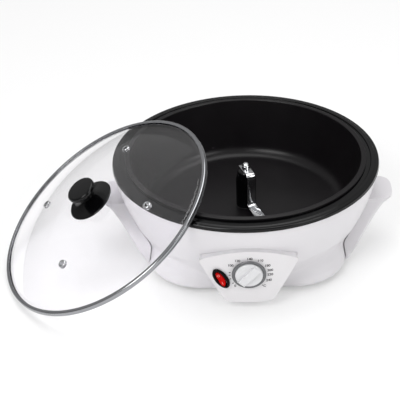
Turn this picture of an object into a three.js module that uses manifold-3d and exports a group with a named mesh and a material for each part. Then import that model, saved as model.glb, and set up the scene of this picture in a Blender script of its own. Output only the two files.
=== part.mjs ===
// Home coffee bean roaster: bowl-shaped housing, black roasting pan with a motor-driven stirrer,
// curved control panel with a temperature knob and a rocker switch, and a loose domed glass lid
// that leans on the rim. Millimetres, +Z up. The origin is the centre of the base cover's flat
// underside, on the stirrer's axis. The control panel faces -Y.
import * as THREE from 'three';
import { mergeVertices } from 'three/addons/utils/BufferGeometryUtils.js';
import Module from 'manifold-3d';

const wasm = await Module();
wasm.setup();

// Fits and facets
const FIT_GAP = 0.3;
const RUNNING_GAP = 0.3;
const CUT_OVERRUN = 2;
const MERGE_REACH = 0.0001;
const LARGE_SIDES = 36;
const MEDIUM_SIDES = 20;
const SMALL_SIDES = 8;
const ARC_STEPS = 3;
const FULL_TURN = 2 * Math.PI;
const QUARTER_TURN = Math.PI / 2;

// Housing bowl and its square plinth
const RIM_RADIUS = 150;
const RIM_OVERHANG = 1;
const BOWL_HEIGHT = 99.3;
const BOWL_FLARE = 39;
const BOWL_CURVE_POWER = 1.5;
const BOWL_LEVEL_SHARES = [0, 0.15, 0.32, 0.52, 0.76, 1];
const HOUSING_WALL = 3;
const PLINTH_STEP = 2;
const PLINTH_CORNER_RADIUS = 61;
const PLINTH_HEIGHT = 40;
const PLINTH_TOP_INSET = 20;
const PLINTH_LEVEL_SHARES = [0, 0.06, 0.35, 0.62, 0.8, 1];
const PLINTH_INSET_SHARES = [0.08, 0, 0.1, 0.29, 0.55, 1];

// Rim ring that clips over the housing's edge
const RIM_HEIGHT = 4.4;
const RIM_FLARE = 0.6;
const RIM_EDGE_RADIUS = 0.7;
const RIM_OUTER_BAND = 3.8;
const RIM_RIDGE_WIDTH = 5.5;
const RIM_RIDGE_RISE = 1.2;
const RIM_GROOVE_DEPTH = 1.5;
const RIM_GROOVE_WIDTH = 3.5;
const RIM_SHELF_THICKNESS = 3;
const RIM_SKIRT_THICKNESS = 3;
const RIM_SKIRT_DEPTH = 7;

// Roasting pan
const PAN_LIP_INSET = 20;
const PAN_LIP_RISE = 3.4;
const PAN_FLANGE_WIDTH = 6;
const PAN_FLANGE_THICKNESS = 2.5;
const PAN_DEPTH = 68;
const PAN_WALL = 2.5;
const PAN_WALL_TAPER = 12;
const PAN_FILLET = 14;
const PAN_FLOOR_THICKNESS = 3;
const COLLAR_HEIGHT = 26;
const COLLAR_WALL = 3;
const COLLAR_FILLET = 3;

// Heater, shield and thermal fuse under the pan
const ELEMENT_INSET = 33;
const ELEMENT_TUBE_RADIUS = 3.5;
const ELEMENT_TAIL = 14;
const ELEMENT_SPREAD_ANGLE = 0.42;
const ELEMENT_STEPS = 30;
const SHIELD_DROP = 12;
const SHIELD_STANDOFF = 3.5;
const SHIELD_THICKNESS = 1;
const SHIELD_HOLE_INSET = 56;
const SHIELD_FLOOR_INSET = 14;
const SHIELD_TOP_DROP = 8;
const FUSE_LENGTH = 26;
const FUSE_WIDTH = 9;
const FUSE_HEIGHT = 5;
const FUSE_INSET = 12;

// Base cover, feet and screws
const FOOT_HEIGHT = 6;
const FOOT_RADIUS = 9;
const FOOT_TAPER = 1.2;
const FOOT_STEM_RADIUS = 3;
const FOOT_STEM_HEAD = 1.2;
const FOOT_STEM_HEAD_HEIGHT = 2;
const FOOT_INSET = 40;
const COVER_THICKNESS = 2.5;
const COVER_SCREW_INSET = 26.8;
const COVER_BOSS_RADIUS = 5;
const COVER_BOSS_TOP = 28;
const VENT_SLOT_WIDTH = 3.2;
const VENT_SLOT_LENGTH = 34;
const VENT_SLOT_PITCH = 9;
const VENT_SLOT_COUNT = 6;
const VENT_SLOT_INSET = 54;
const SCREW_RADIUS = 1.6;
const SCREW_HEAD_RADIUS = 3.4;
const SCREW_HEAD_HEIGHT = 2;
const COVER_SCREW_LENGTH = 16;

// Drive below the pan
const GEAR_MODULE = 1.25;
const OUTPUT_TEETH = 39;
const PINION_TEETH = 12;
const GEAR_THICKNESS = 5;
const GEAR_BACKLASH = 0.35;
const GEAR_ROOT_CLEARANCE = 0.35;
const TOOTH_TIP_SHARE = 0.52;
const GEAR_HUB_RADIUS = 7;
const GEAR_HUB_HEIGHT = 2;
const GEAR_LIFT = 0.6;
const MOTOR_RADIUS = 22;
const MOTOR_HEIGHT = 16;
const MOTOR_EDGE = 1.5;
const MOTOR_SHAFT_RADIUS = 2;
const MOTOR_SHAFT_DEPTH = 8;
const GEAR_PLATE_THICKNESS = 1.5;
const GEAR_PLATE_REACH = 48;
const GEAR_PLATE_TAIL = 82;
const GEAR_PLATE_FRONT = 14;
const GEAR_PLATE_CORNER = 10;
const GEAR_POST_RADIUS = 4;
const GEAR_POST_REACH = 38;
const GEAR_POST_TAIL = 70;
const GEAR_SCREW_LENGTH = 10;
const GEAR_COVER_WALL = 1.5;
const GEAR_COVER_ROOM = 1.5;
const SHAFT_RADIUS = 3;
const SHAFT_BOTTOM = 11;
const BUSH_WALL = 1.5;
const BUSH_FLANGE = 2.4;
const BUSH_FLANGE_THICKNESS = 1.5;
const CLIP_THICKNESS = 1;
const CLIP_WIDTH = 3;
const SEAL_HEIGHT = 4;

// Stirrer in the pan
const HUB_RADIUS = 11.5;
const HUB_TOP_RADIUS = 9.5;
const HUB_TOP = 86;
const HUB_SHOULDER = 3;
const HUB_FLOOR_GAP = 1.5;
const HUB_COLLAR_GAP = 0.8;
const STIRRER_AZIMUTH = -68.5;
const STRIP_WIDTH = 10;
const STRIP_THICKNESS = 1.6;
const STRIP_STANDOFF = 4;
const STRIP_BEND = 4;
const STRIP_TWIST_LENGTH = 16;
const BLADE_FLOOR_GAP = 2.5;
const BLADE_WALL_GAP = 8;
const BLADE_UPTURN = 16;
const NUT_RADIUS = 4.6;
const NUT_HEIGHT = 3.4;
const NUT_DOME = 3.4;
const STUD_RADIUS = 2.4;

// Side ears that serve as handles
const EAR_TOP = 59;
const EAR_FOOT_STEP = 4.6;
const EAR_OVERREACH = 18;
const EAR_TOP_HALF_WIDTH = 25;
const EAR_FOOT_HALF_WIDTH = 58;
const EAR_EDGE = 1;
const EAR_WALL = 3;
const EAR_ROUNDING_SHARE = 0.7;
const EAR_LEVEL_SHARES = [0, 0.2, 0.39, 0.63, 0.86, 0.95, 1];
const EAR_REACH_SHARES = [0, 0.165, 0.349, 0.583, 0.815, 0.97, 1];
const EAR_WIDTH_SHARES = [1, 0.94, 0.7, 0.33, 0.07, 0.01, 0];
const EAR_CORNER_STEPS = 5;
const EAR_CORNER_POWER = 3;
const EAR_ROOT_DEPTH = 40;
const EAR_BOSS_RADIUS = 4.5;
const EAR_SCREW_PLACE = 13;
const EAR_SCREW_HEIGHT = 44;
const EAR_SCREW_LENGTH = 15;

// Control panel: a curved plate on a pod at the front
const PANEL_LEAN = 0.075;
const PANEL_KNOB_HEIGHT = 44.8;
const PANEL_STANDOFF = 12.85;
const PANEL_THICKNESS = 3;
const PANEL_BOTTOM = 4.6;
const PANEL_TOP = 73.6;
const PANEL_BOTTOM_HALF = 25.9;
const PANEL_TOP_HALF = 54;
const PANEL_SHOULDER_HEIGHT = 56.7;
const PANEL_BOTTOM_CORNER = 6.5;
const PANEL_TOP_CORNER = 3.5;
const PANEL_ARC_STEPS = 8;
const POD_WALL = 4;
const POD_DEPTH = 45;

// Temperature knob and thermostat
const KNOB_RING_RADIUS = 18.4;
const KNOB_RING_WIDTH = 3.3;
const KNOB_RING_HEIGHT = 1.5;
const KNOB_RING_EDGE = 0.6;
const KNOB_LIFT = 0.4;
const KNOB_FLANGE = 0.9;
const KNOB_HEIGHT = 4.4;
const KNOB_EDGE = 0.9;
const KNOB_WALL = 2.4;
const KNOB_ROOF = 1.6;
const KNOB_GRIP_WIDTH = 9.4;
const KNOB_GRIP_RISE = 3.4;
const KNOB_REST_ANGLE = 222.3;
const THERMOSTAT_WIDTH = 26;
const THERMOSTAT_HEIGHT = 30;
const THERMOSTAT_DEPTH = 11;
const THERMOSTAT_SET_BACK = 0.9;
const THERMOSTAT_NECK_RADIUS = 5.2;
const THERMOSTAT_NUT_RADIUS = 7.5;
const THERMOSTAT_NUT_HEIGHT = 1.8;
const THERMOSTAT_NUT_SIDES = 6;
const THERMOSTAT_STUB = 6;

// Rocker switch
const SWITCH_OFFSET = -29.6;
const SWITCH_HEIGHT = 37.3;
const SWITCH_LONG = 27;
const SWITCH_SHORT = 15.4;
const SWITCH_TILT = 0.52;
const SWITCH_LIP = 2.2;
const SWITCH_LIP_GAP = 0.9;
const SWITCH_BORDER = 3.2;
const SWITCH_NECK_INSET = 1.6;
const SWITCH_BODY_DEPTH = 15;
const SWITCH_CAVITY_DEPTH = 8;
const ROCKER_SIDE_GAP = 0.4;
const ROCKER_END_GAP = 0.8;
const ROCKER_DEPTH = 4.5;
const ROCKER_CREST = 0.8;
const ROCKER_SWING = 8;

// Rear cord bush
const BUSH_CORD_RADIUS = 3.8;
const CORD_BUSH_NECK_RADIUS = 6;
const CORD_BUSH_FLANGE_RADIUS = 8.5;
const CORD_BUSH_FLANGE_THICKNESS = 2;
const CORD_BUSH_NOSE = 7;
const CORD_BUSH_HEIGHT = 22;
const CORD_BUSH_FLANGE_GAP = 0.7;

// Terminal block on the base cover
const TERMINAL_LENGTH = 40;
const TERMINAL_WIDTH = 16;
const TERMINAL_HEIGHT = 13;
const TERMINAL_POLES = 4;
const TERMINAL_HOLE_RADIUS = 1.8;
const TERMINAL_INSET = 46;

// Glass lid, its band, vent eyelets and knob
const LID_INSET = 15.7;
const LID_BAND_WIDTH = 5.2;
const LID_BAND_HEIGHT = 6;
const LID_BAND_WALL = 0.9;
const LID_BAND_EDGE = 1;
const LID_GLASS_THICKNESS = 3.5;
const LID_DOME_HEIGHT = 24.5;
const LID_DOME_POWER = 2.5;
const LID_DOME_SHARES = [0, 0.41, 0.7, 0.88, 1];
const LID_TILT = 32.3;
const LID_AZIMUTH = 200.4;
const LID_SCREW_HOLE_RADIUS = 3;
const LID_KNOB_SKIRT_RADIUS = 27;
const LID_KNOB_SKIRT_EDGE = 2;
const LID_KNOB_SKIRT_RISE = 6;
const LID_KNOB_NECK_RADIUS = 9;
const LID_KNOB_FLARE_RADIUS = 13.5;
const LID_KNOB_RADIUS = 16.6;
const LID_KNOB_DISC = 6.5;
const LID_KNOB_RISE = 22.5;
const LID_KNOB_EDGE = 1.2;
const LID_WASHER_RADIUS = 9;
const LID_WASHER_THICKNESS = 1.5;
const LID_SCREW_HEAD_RADIUS = 5;
const LID_SCREW_HEAD_HEIGHT = 2.2;
const LID_SCREW_RADIUS = 2.2;
const LID_SCREW_REACH = 12;
const VENT_CIRCLE_INSET = 50;
const VENT_FIRST_ANGLE = 58.3;
const VENT_COUNT = 4;
const VENT_HOLE_RADIUS = 2.2;
const VENT_NECK_RADIUS = 3.2;
const VENT_FLANGE_RADIUS = 4.8;
const VENT_FLANGE_THICKNESS = 0.8;

// Heights and radii that follow from the sizes above
const rimBottom = BOWL_HEIGHT + FIT_GAP;
const rimTop = rimBottom + RIM_HEIGHT;
const panLip = rimTop + PAN_LIP_RISE;
const panFloor = panLip - PAN_DEPTH;
const panUnderside = panFloor - PAN_FLOOR_THICKNESS;
const bowlTopRadius = RIM_RADIUS - RIM_OVERHANG;
const bowlFloorRadius = bowlTopRadius - BOWL_FLARE;
const plinthHalf = bowlFloorRadius + PLINTH_STEP;
const panLipRadius = RIM_RADIUS - PAN_LIP_INSET;
const panFootRadius = panLipRadius - PAN_WALL_TAPER;
const footPlace = plinthHalf - FOOT_INSET;
const coverScrewPlace = plinthHalf - COVER_SCREW_INSET;
const elementRadius = panFootRadius - ELEMENT_INSET;
const shieldHoleRadius = panFootRadius - SHIELD_HOLE_INSET;
const earFootReach = plinthHalf + EAR_FOOT_STEP;
const earTopReach = RIM_RADIUS + EAR_OVERREACH;
const lidRadius = RIM_RADIUS - LID_INSET;
const postTop = COVER_THICKNESS + FIT_GAP + MOTOR_HEIGHT;
const gearPlateBottom = postTop + FIT_GAP;
const gearPlateTop = gearPlateBottom + GEAR_PLATE_THICKNESS;
const gearBottom = gearPlateTop + GEAR_LIFT;
const gearTop = gearBottom + GEAR_THICKNESS;
const axleDistance = GEAR_MODULE * (OUTPUT_TEETH + PINION_TEETH) / 2;
const collarBore = SHAFT_RADIUS + RUNNING_GAP + BUSH_WALL + FIT_GAP;
const collarTop = panFloor + COLLAR_HEIGHT;

const degrees = (angle) => angle * Math.PI / 180;

// Solids, joins and cuts
function closedGeometry(geometry) {
  const bare = geometry.index ? geometry.toNonIndexed() : geometry.clone();
  bare.deleteAttribute('normal');
  bare.deleteAttribute('uv');
  const merged = mergeVertices(bare, MERGE_REACH);
  const place = merged.attributes.position;
  const corners = merged.index.array;
  const kept = [];
  const [a, b, c] = [new THREE.Vector3(), new THREE.Vector3(), new THREE.Vector3()];
  let volume = 0;
  for (let i = 0; i < corners.length; i += 3) {
    const [p, q, r] = corners.slice(i, i + 3);
    if (p === q || q === r || r === p) continue;
    kept.push(p, q, r);
    a.fromBufferAttribute(place, p);
    b.fromBufferAttribute(place, q);
    c.fromBufferAttribute(place, r);
    volume += a.dot(b.cross(c));
  }
  if (volume < 0) kept.reverse();
  merged.setIndex(kept);
  return merged;
}

function solid(geometry) {
  const closed = closedGeometry(geometry);
  return new wasm.Manifold(new wasm.Mesh({
    numProp: 3,
    vertProperties: new Float32Array(closed.attributes.position.array),
    triVerts: new Uint32Array(closed.index.array),
  }));
}

function asGeometry(shape) {
  if (shape.isBufferGeometry) return closedGeometry(shape);
  const mesh = shape.getMesh();
  const geometry = new THREE.BufferGeometry();
  geometry.setAttribute('position', new THREE.BufferAttribute(new Float32Array(mesh.vertProperties), 3));
  geometry.setIndex([...mesh.triVerts]);
  return geometry;
}

const join = (...shapes) => shapes.reduce((whole, next) => whole.add(next));
const cut = (whole, ...tools) => tools.reduce((left, tool) => left.subtract(tool), whole);

// Turned shape: a profile of [radius, height] pairs spun about Z
function turned(profile, sides, closes = false) {
  const points = profile.map(([radius, height]) => new THREE.Vector2(radius, height));
  if (closes) points.push(points[0].clone());
  return new THREE.LatheGeometry(points, sides).rotateX(QUARTER_TURN);
}

function rod(radius, bottom, top, sides = SMALL_SIDES) {
  return turned([[0, bottom], [radius, bottom], [radius, top], [0, top]], sides);
}

function collar(inner, outer, bottom, top, sides = MEDIUM_SIDES) {
  return turned([[inner, bottom], [outer, bottom], [outer, top], [inner, top]], sides, true);
}

function block(width, length, height, x, y, bottom) {
  return new THREE.BoxGeometry(width, length, height).translate(x, y, bottom + height / 2);
}

function slab(shape, bottom, top) {
  const options = { depth: top - bottom, bevelEnabled: false, curveSegments: ARC_STEPS };
  return new THREE.ExtrudeGeometry(shape, options).translate(0, 0, bottom);
}

function arc(x, y, radiusX, radiusY, from, to, steps = ARC_STEPS) {
  return Array.from({ length: steps + 1 }, (_, i) => {
    const angle = from + (to - from) * i / steps;
    return [x + radiusX * Math.cos(angle), y + radiusY * Math.sin(angle)];
  });
}

// Closed outline whose corners are rounded: each corner is [x, y, radius]
function roundedOutline(corners, steps = ARC_STEPS) {
  const points = [];
  corners.forEach(([x, y, radius], i) => {
    const corner = new THREE.Vector2(x, y);
    const before = new THREE.Vector2(...corners[(i + corners.length - 1) % corners.length]).sub(corner);
    const after = new THREE.Vector2(...corners[(i + 1) % corners.length]).sub(corner);
    if (!radius) {
      points.push(corner);
      return;
    }
    const half = Math.acos(before.clone().normalize().dot(after.clone().normalize())) / 2;
    const reach = Math.min(radius / Math.tan(half), before.length() / 2, after.length() / 2);
    const start = corner.clone().add(before.setLength(reach));
    const end = corner.clone().add(after.setLength(reach));
    points.push(...new THREE.QuadraticBezierCurve(start, corner, end).getPoints(steps));
  });
  return new THREE.Shape(points);
}

// Skin over a stack of rings that have equally many points, with flat ends
function lofted(rings) {
  const count = rings[0].length;
  const positions = rings.flat().flatMap((point) => point.toArray());
  const index = [];
  const last = (rings.length - 1) * count;
  for (let level = 0; level < rings.length - 1; level += 1) {
    for (let i = 0; i < count; i += 1) {
      const next = (i + 1) % count;
      const low = level * count;
      const high = low + count;
      index.push(low + i, low + next, high + next, low + i, high + next, high + i);
    }
  }
  for (let i = 1; i < count - 1; i += 1) {
    index.push(0, i + 1, i, last, last + i, last + i + 1);
  }
  const geometry = new THREE.BufferGeometry();
  geometry.setAttribute('position', new THREE.Float32BufferAttribute(positions, 3));
  geometry.setIndex(index);
  return geometry;
}

// Housing surfaces
// Height or radius read off a table whose levels rise from zero to one
function readOff(levels, values, share) {
  const at = THREE.MathUtils.clamp(share, levels[0], levels.at(-1));
  const above = Math.max(levels.findIndex((level) => level >= at), 1);
  const [low, high] = [above - 1, above];
  return THREE.MathUtils.mapLinear(at, levels[low], levels[high], values[low], values[high]);
}

const bowlRadii = BOWL_LEVEL_SHARES.map((share) => (
  bowlFloorRadius + (bowlTopRadius - bowlFloorRadius) * (1 - (1 - share) ** BOWL_CURVE_POWER)));
const bowlRadius = (height) => readOff(BOWL_LEVEL_SHARES, bowlRadii, height / BOWL_HEIGHT);

function bowlSolid(grow, overrun = 0) {
  const wall = BOWL_LEVEL_SHARES.map((share) => {
    const height = share * BOWL_HEIGHT;
    return [bowlRadius(height) + grow, height];
  });
  const floor = [bowlFloorRadius + grow, -overrun];
  const top = [bowlTopRadius + grow, BOWL_HEIGHT + overrun];
  const skin = overrun ? [floor, ...wall, top] : wall;
  return solid(turned([[0, skin[0][1]], ...skin, [0, skin.at(-1)[1]]], LARGE_SIDES));
}

// Rounded square, read at the same azimuths as the bowl's facets so that they meet in an even crease
function squareRing(half, radius, height) {
  const centre = half - radius;
  return Array.from({ length: LARGE_SIDES }, (_, i) => {
    const angle = FULL_TURN * i / LARGE_SIDES;
    const [near, far] = [Math.abs(Math.cos(angle)), Math.abs(Math.sin(angle))].sort((a, b) => a - b);
    const middle = centre * (near + far);
    const onCorner = middle + Math.sqrt(Math.max(middle ** 2 - 2 * centre ** 2 + radius ** 2, 0));
    const out = half * near < centre * far ? half / far : onCorner;
    return new THREE.Vector3(out * Math.cos(angle), out * Math.sin(angle), height);
  });
}

function plinthSolid(grow, overrun = 0) {
  const rings = PLINTH_LEVEL_SHARES.map((share, i) => {
    const half = plinthHalf - PLINTH_TOP_INSET * PLINTH_INSET_SHARES[i] + grow;
    return squareRing(half, PLINTH_CORNER_RADIUS + grow, share * PLINTH_HEIGHT);
  });
  if (overrun) {
    const half = plinthHalf - PLINTH_TOP_INSET * PLINTH_INSET_SHARES[0] + grow;
    rings.unshift(squareRing(half, PLINTH_CORNER_RADIUS + grow, -overrun));
  }
  return solid(lofted(rings));
}

const housingEnvelope = (grow) => join(bowlSolid(grow), plinthSolid(grow));

// Panel surfaces: the plate's face is a cone round Z that leans out towards its top
const panelKnobReach = bowlRadius(PANEL_KNOB_HEIGHT) + PANEL_STANDOFF;

function panelRadius(height) {
  return panelKnobReach + PANEL_LEAN * (height - PANEL_KNOB_HEIGHT);
}

function panelCone(grow) {
  const bottom = -CUT_OVERRUN;
  const top = BOWL_HEIGHT;
  const foot = [panelRadius(bottom) + grow, bottom];
  const head = [panelRadius(top) + grow, top];
  return solid(turned([[0, bottom], foot, head, [0, top]], LARGE_SIDES * 2));
}

function panelOutline(inset) {
  const shoulder = [PANEL_TOP_HALF - inset, PANEL_SHOULDER_HEIGHT];
  const crown = PANEL_TOP - inset;
  const rise = crown - shoulder[1];
  const arcShares = Array.from({ length: PANEL_ARC_STEPS - 1 }, (_, i) => 1 - 2 * (i + 1) / PANEL_ARC_STEPS);
  const top = arcShares.map((share) => [share * shoulder[0], shoulder[1] + rise * (1 - share ** 2), 0]);
  return roundedOutline([
    [-PANEL_BOTTOM_HALF + inset, PANEL_BOTTOM + inset, PANEL_BOTTOM_CORNER],
    [PANEL_BOTTOM_HALF - inset, PANEL_BOTTOM + inset, PANEL_BOTTOM_CORNER],
    [...shoulder, PANEL_TOP_CORNER],
    ...top,
    [-shoulder[0], shoulder[1], PANEL_TOP_CORNER],
  ]);
}

// Prism of the panel's outline, standing out from the housing towards -Y
function panelPrism(inset, back) {
  const front = panelRadius(BOWL_HEIGHT) + CUT_OVERRUN;
  return solid(slab(panelOutline(inset), back, front).rotateX(QUARTER_TURN));
}

// Frame on the panel's face: local Z points out, local Y up the panel
function panelFrame(offset, height) {
  const radius = panelRadius(height);
  const turn = Math.asin(offset / radius);
  const lean = Math.atan(PANEL_LEAN);
  const frame = new THREE.Group();
  frame.position.set(offset, -radius * Math.cos(turn), height);
  frame.rotation.set(QUARTER_TURN + lean, 0, turn, 'ZXY');
  frame.updateMatrixWorld(true);
  return frame;
}

const knobFrame = panelFrame(0, PANEL_KNOB_HEIGHT);
const switchFrame = panelFrame(SWITCH_OFFSET, SWITCH_HEIGHT);
switchFrame.rotateZ(SWITCH_TILT);
switchFrame.updateMatrixWorld(true);

const inFrame = (geometry, frame) => geometry.clone().applyMatrix4(frame.matrixWorld);

// Rear bush frame: local Z points out along the wall's normal
function bushFrame() {
  const above = bowlRadius(CORD_BUSH_HEIGHT + HOUSING_WALL);
  const below = bowlRadius(CORD_BUSH_HEIGHT - HOUSING_WALL);
  const slope = (above - below) / (2 * HOUSING_WALL);
  const frame = new THREE.Group();
  frame.position.set(0, bowlRadius(CORD_BUSH_HEIGHT), CORD_BUSH_HEIGHT);
  frame.rotation.set(-QUARTER_TURN - Math.atan(slope), 0, 0);
  frame.updateMatrixWorld(true);
  return frame;
}

const cordFrame = bushFrame();

// Places repeated round the base
const cornersOf = (place) => [[place, place], [-place, place], [-place, -place], [place, -place]];
const gearPosts = [[-GEAR_POST_REACH, 0], [GEAR_POST_REACH, 0], [0, GEAR_POST_TAIL]];
const ovalShape = (long, short) => {
  const points = arc(0, 0, short / 2, long / 2, 0, FULL_TURN, MEDIUM_SIDES).slice(0, -1);
  return new THREE.Shape(points.map(([x, y]) => new THREE.Vector2(x, y)));
};

// Outer housing: bowl, plinth and panel pod in one moulding, open above and below
function outerHousing() {
  const podBack = panelRadius(PANEL_TOP) - POD_DEPTH;
  const pod = panelPrism(0, podBack).intersect(panelCone(-PANEL_THICKNESS - FIT_GAP));
  const podRoom = panelPrism(POD_WALL, podBack);
  const skin = join(housingEnvelope(0), pod);
  const room = join(bowlSolid(-HOUSING_WALL, CUT_OVERRUN), plinthSolid(-HOUSING_WALL, CUT_OVERRUN));
  const bosses = cornersOf(coverScrewPlace).map(([x, y]) => {
    const foot = COVER_THICKNESS + FIT_GAP;
    return solid(rod(COVER_BOSS_RADIUS, foot, COVER_BOSS_TOP, SMALL_SIDES).translate(x, y, 0));
  });
  const pilots = cornersOf(coverScrewPlace).map(([x, y]) => {
    const depth = COVER_SCREW_LENGTH + CUT_OVERRUN;
    return solid(rod(SCREW_RADIUS + FIT_GAP, 0, depth, SMALL_SIDES).translate(x, y, 0));
  });
  const bushRod = rod(CORD_BUSH_NECK_RADIUS + FIT_GAP, -POD_DEPTH / 2, CORD_BUSH_NOSE, MEDIUM_SIDES);
  const bushHole = solid(inFrame(bushRod, cordFrame));
  const earHoles = [1, -1].flatMap((side) => earScrewPlaces(side).map(({ y, z }) => {
    const hole = rod(SCREW_RADIUS + FIT_GAP, 0, earTopReach).rotateY(side * QUARTER_TURN);
    return solid(hole.translate(side * bowlFloorRadius, y, z));
  }));
  return cut(join(cut(skin, room), ...bosses), podRoom, ...pilots, bushHole, ...earHoles);
}

// Rim ring: stepped black ring with a shelf for the pan and a skirt inside the housing
function rimRing() {
  const outer = RIM_RADIUS + RIM_FLARE;
  const bandEdge = RIM_RADIUS - RIM_OUTER_BAND;
  const ridgeInner = bandEdge - RIM_RIDGE_WIDTH;
  const grooveInner = ridgeInner - RIM_GROOVE_WIDTH;
  const shelfTop = panLip - PAN_FLANGE_THICKNESS - FIT_GAP - RIM_EDGE_RADIUS;
  const grooveBottom = Math.min(shelfTop, rimTop + RIM_RIDGE_RISE - RIM_GROOVE_DEPTH);
  const shelfInner = panLipRadius + PAN_WALL + FIT_GAP * 2;
  const skirtOuter = bowlRadius(rimBottom - RIM_SKIRT_DEPTH) - HOUSING_WALL - FIT_GAP;
  const skirtInner = skirtOuter - RIM_SKIRT_THICKNESS;
  const shelfBottom = grooveBottom - RIM_SHELF_THICKNESS;
  return turned([
    [shelfInner, shelfTop],
    [grooveInner, shelfTop],
    [ridgeInner, grooveBottom],
    [ridgeInner + RIM_EDGE_RADIUS, rimTop + RIM_RIDGE_RISE],
    [bandEdge - RIM_EDGE_RADIUS, rimTop + RIM_RIDGE_RISE - RIM_EDGE_RADIUS / 2],
    [bandEdge, rimTop + RIM_EDGE_RADIUS / 2],
    [RIM_RADIUS - RIM_EDGE_RADIUS, rimTop],
    [RIM_RADIUS, rimTop - RIM_EDGE_RADIUS],
    [outer, rimBottom],
    [skirtOuter, rimBottom],
    [skirtOuter, rimBottom - RIM_SKIRT_DEPTH],
    [skirtInner, rimBottom - RIM_SKIRT_DEPTH],
    [skirtInner, shelfBottom],
    [shelfInner, shelfBottom],
  ], LARGE_SIDES, true);
}

// Pan wall radius at its foot, outside the metal
const panOuterFoot = panFootRadius + PAN_WALL;

// Roasting pan: tapered wall, rounded foot, flat floor and a collar round the shaft
function roastingPan() {
  const collarOuter = collarBore + COLLAR_WALL;
  const filletCentre = panFootRadius - PAN_FILLET;
  const outerFillet = PAN_FILLET + PAN_WALL;
  const flange = panLipRadius + PAN_FLANGE_WIDTH;
  const flangeTop = panLip - RIM_EDGE_RADIUS;
  return turned([
    [collarBore, panUnderside],
    ...arc(filletCentre, panUnderside + outerFillet, outerFillet, outerFillet, -QUARTER_TURN, 0),
    [panLipRadius + PAN_WALL, flangeTop - PAN_FLANGE_THICKNESS],
    [flange, flangeTop - PAN_FLANGE_THICKNESS],
    [flange, flangeTop],
    [panLipRadius + RIM_EDGE_RADIUS, panLip],
    [panLipRadius, panLip - RIM_EDGE_RADIUS],
    ...arc(filletCentre, panFloor + PAN_FILLET, PAN_FILLET, PAN_FILLET, 0, -QUARTER_TURN),
    [collarOuter + COLLAR_FILLET, panFloor],
    [collarOuter, panFloor + COLLAR_FILLET],
    [collarOuter, collarTop],
    [collarBore, collarTop],
  ], LARGE_SIDES, true);
}

// Tubular heater: an open ring whose two ends turn in towards the terminals
function heatingElement() {
  const height = panUnderside - FIT_GAP - ELEMENT_TUBE_RADIUS;
  const start = QUARTER_TURN + ELEMENT_SPREAD_ANGLE;
  const end = QUARTER_TURN + FULL_TURN - ELEMENT_SPREAD_ANGLE;
  const ring = arc(0, 0, elementRadius, elementRadius, start, end, ELEMENT_STEPS / 2);
  const inner = elementRadius - ELEMENT_TAIL;
  const tails = [start - ELEMENT_TAIL / inner, end + ELEMENT_TAIL / inner];
  const ends = tails.map((angle) => [inner * Math.cos(angle), inner * Math.sin(angle)]);
  const route = [ends[0], ...ring, ends[1]].map(([x, y]) => new THREE.Vector3(x, y, height));
  const section = arc(0, 0, ELEMENT_TUBE_RADIUS, ELEMENT_TUBE_RADIUS, 0, FULL_TURN, SMALL_SIDES).slice(0, -1);
  return new THREE.ExtrudeGeometry(new THREE.Shape(section.map(([x, y]) => new THREE.Vector2(x, y))), {
    steps: ELEMENT_STEPS,
    bevelEnabled: false,
    extrudePath: new THREE.CatmullRomCurve3(route),
  });
}

// Heat shield: thin steel bowl between the pan and the housing, hung inside the rim's skirt
function heatShield() {
  const floor = panUnderside - SHIELD_DROP;
  const wallFoot = panUnderside + PAN_FILLET + PAN_WALL;
  const foot = panOuterFoot + SHIELD_STANDOFF;
  const floorRadius = panFootRadius - SHIELD_FLOOR_INSET;
  const top = rimBottom - SHIELD_TOP_DROP;
  const wallTop = foot + (top - wallFoot) * PAN_WALL_TAPER / (panLip - wallFoot);
  const flange = bowlRadius(top) - HOUSING_WALL - FIT_GAP * 2 - RIM_SKIRT_THICKNESS;
  const corner = foot - floorRadius;
  const inner = arc(floorRadius, wallFoot, corner, wallFoot - floor, -QUARTER_TURN, 0, 3);
  const outer = arc(floorRadius, wallFoot, corner + SHIELD_THICKNESS,
    wallFoot - floor + SHIELD_THICKNESS, 0, -QUARTER_TURN, 3);
  return turned([
    [shieldHoleRadius, floor],
    ...inner,
    [wallTop, top],
    [flange, top],
    [flange, top - SHIELD_THICKNESS],
    [wallTop + SHIELD_THICKNESS, top - SHIELD_THICKNESS],
    ...outer,
    [shieldHoleRadius, floor - SHIELD_THICKNESS],
  ], LARGE_SIDES, true);
}

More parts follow.
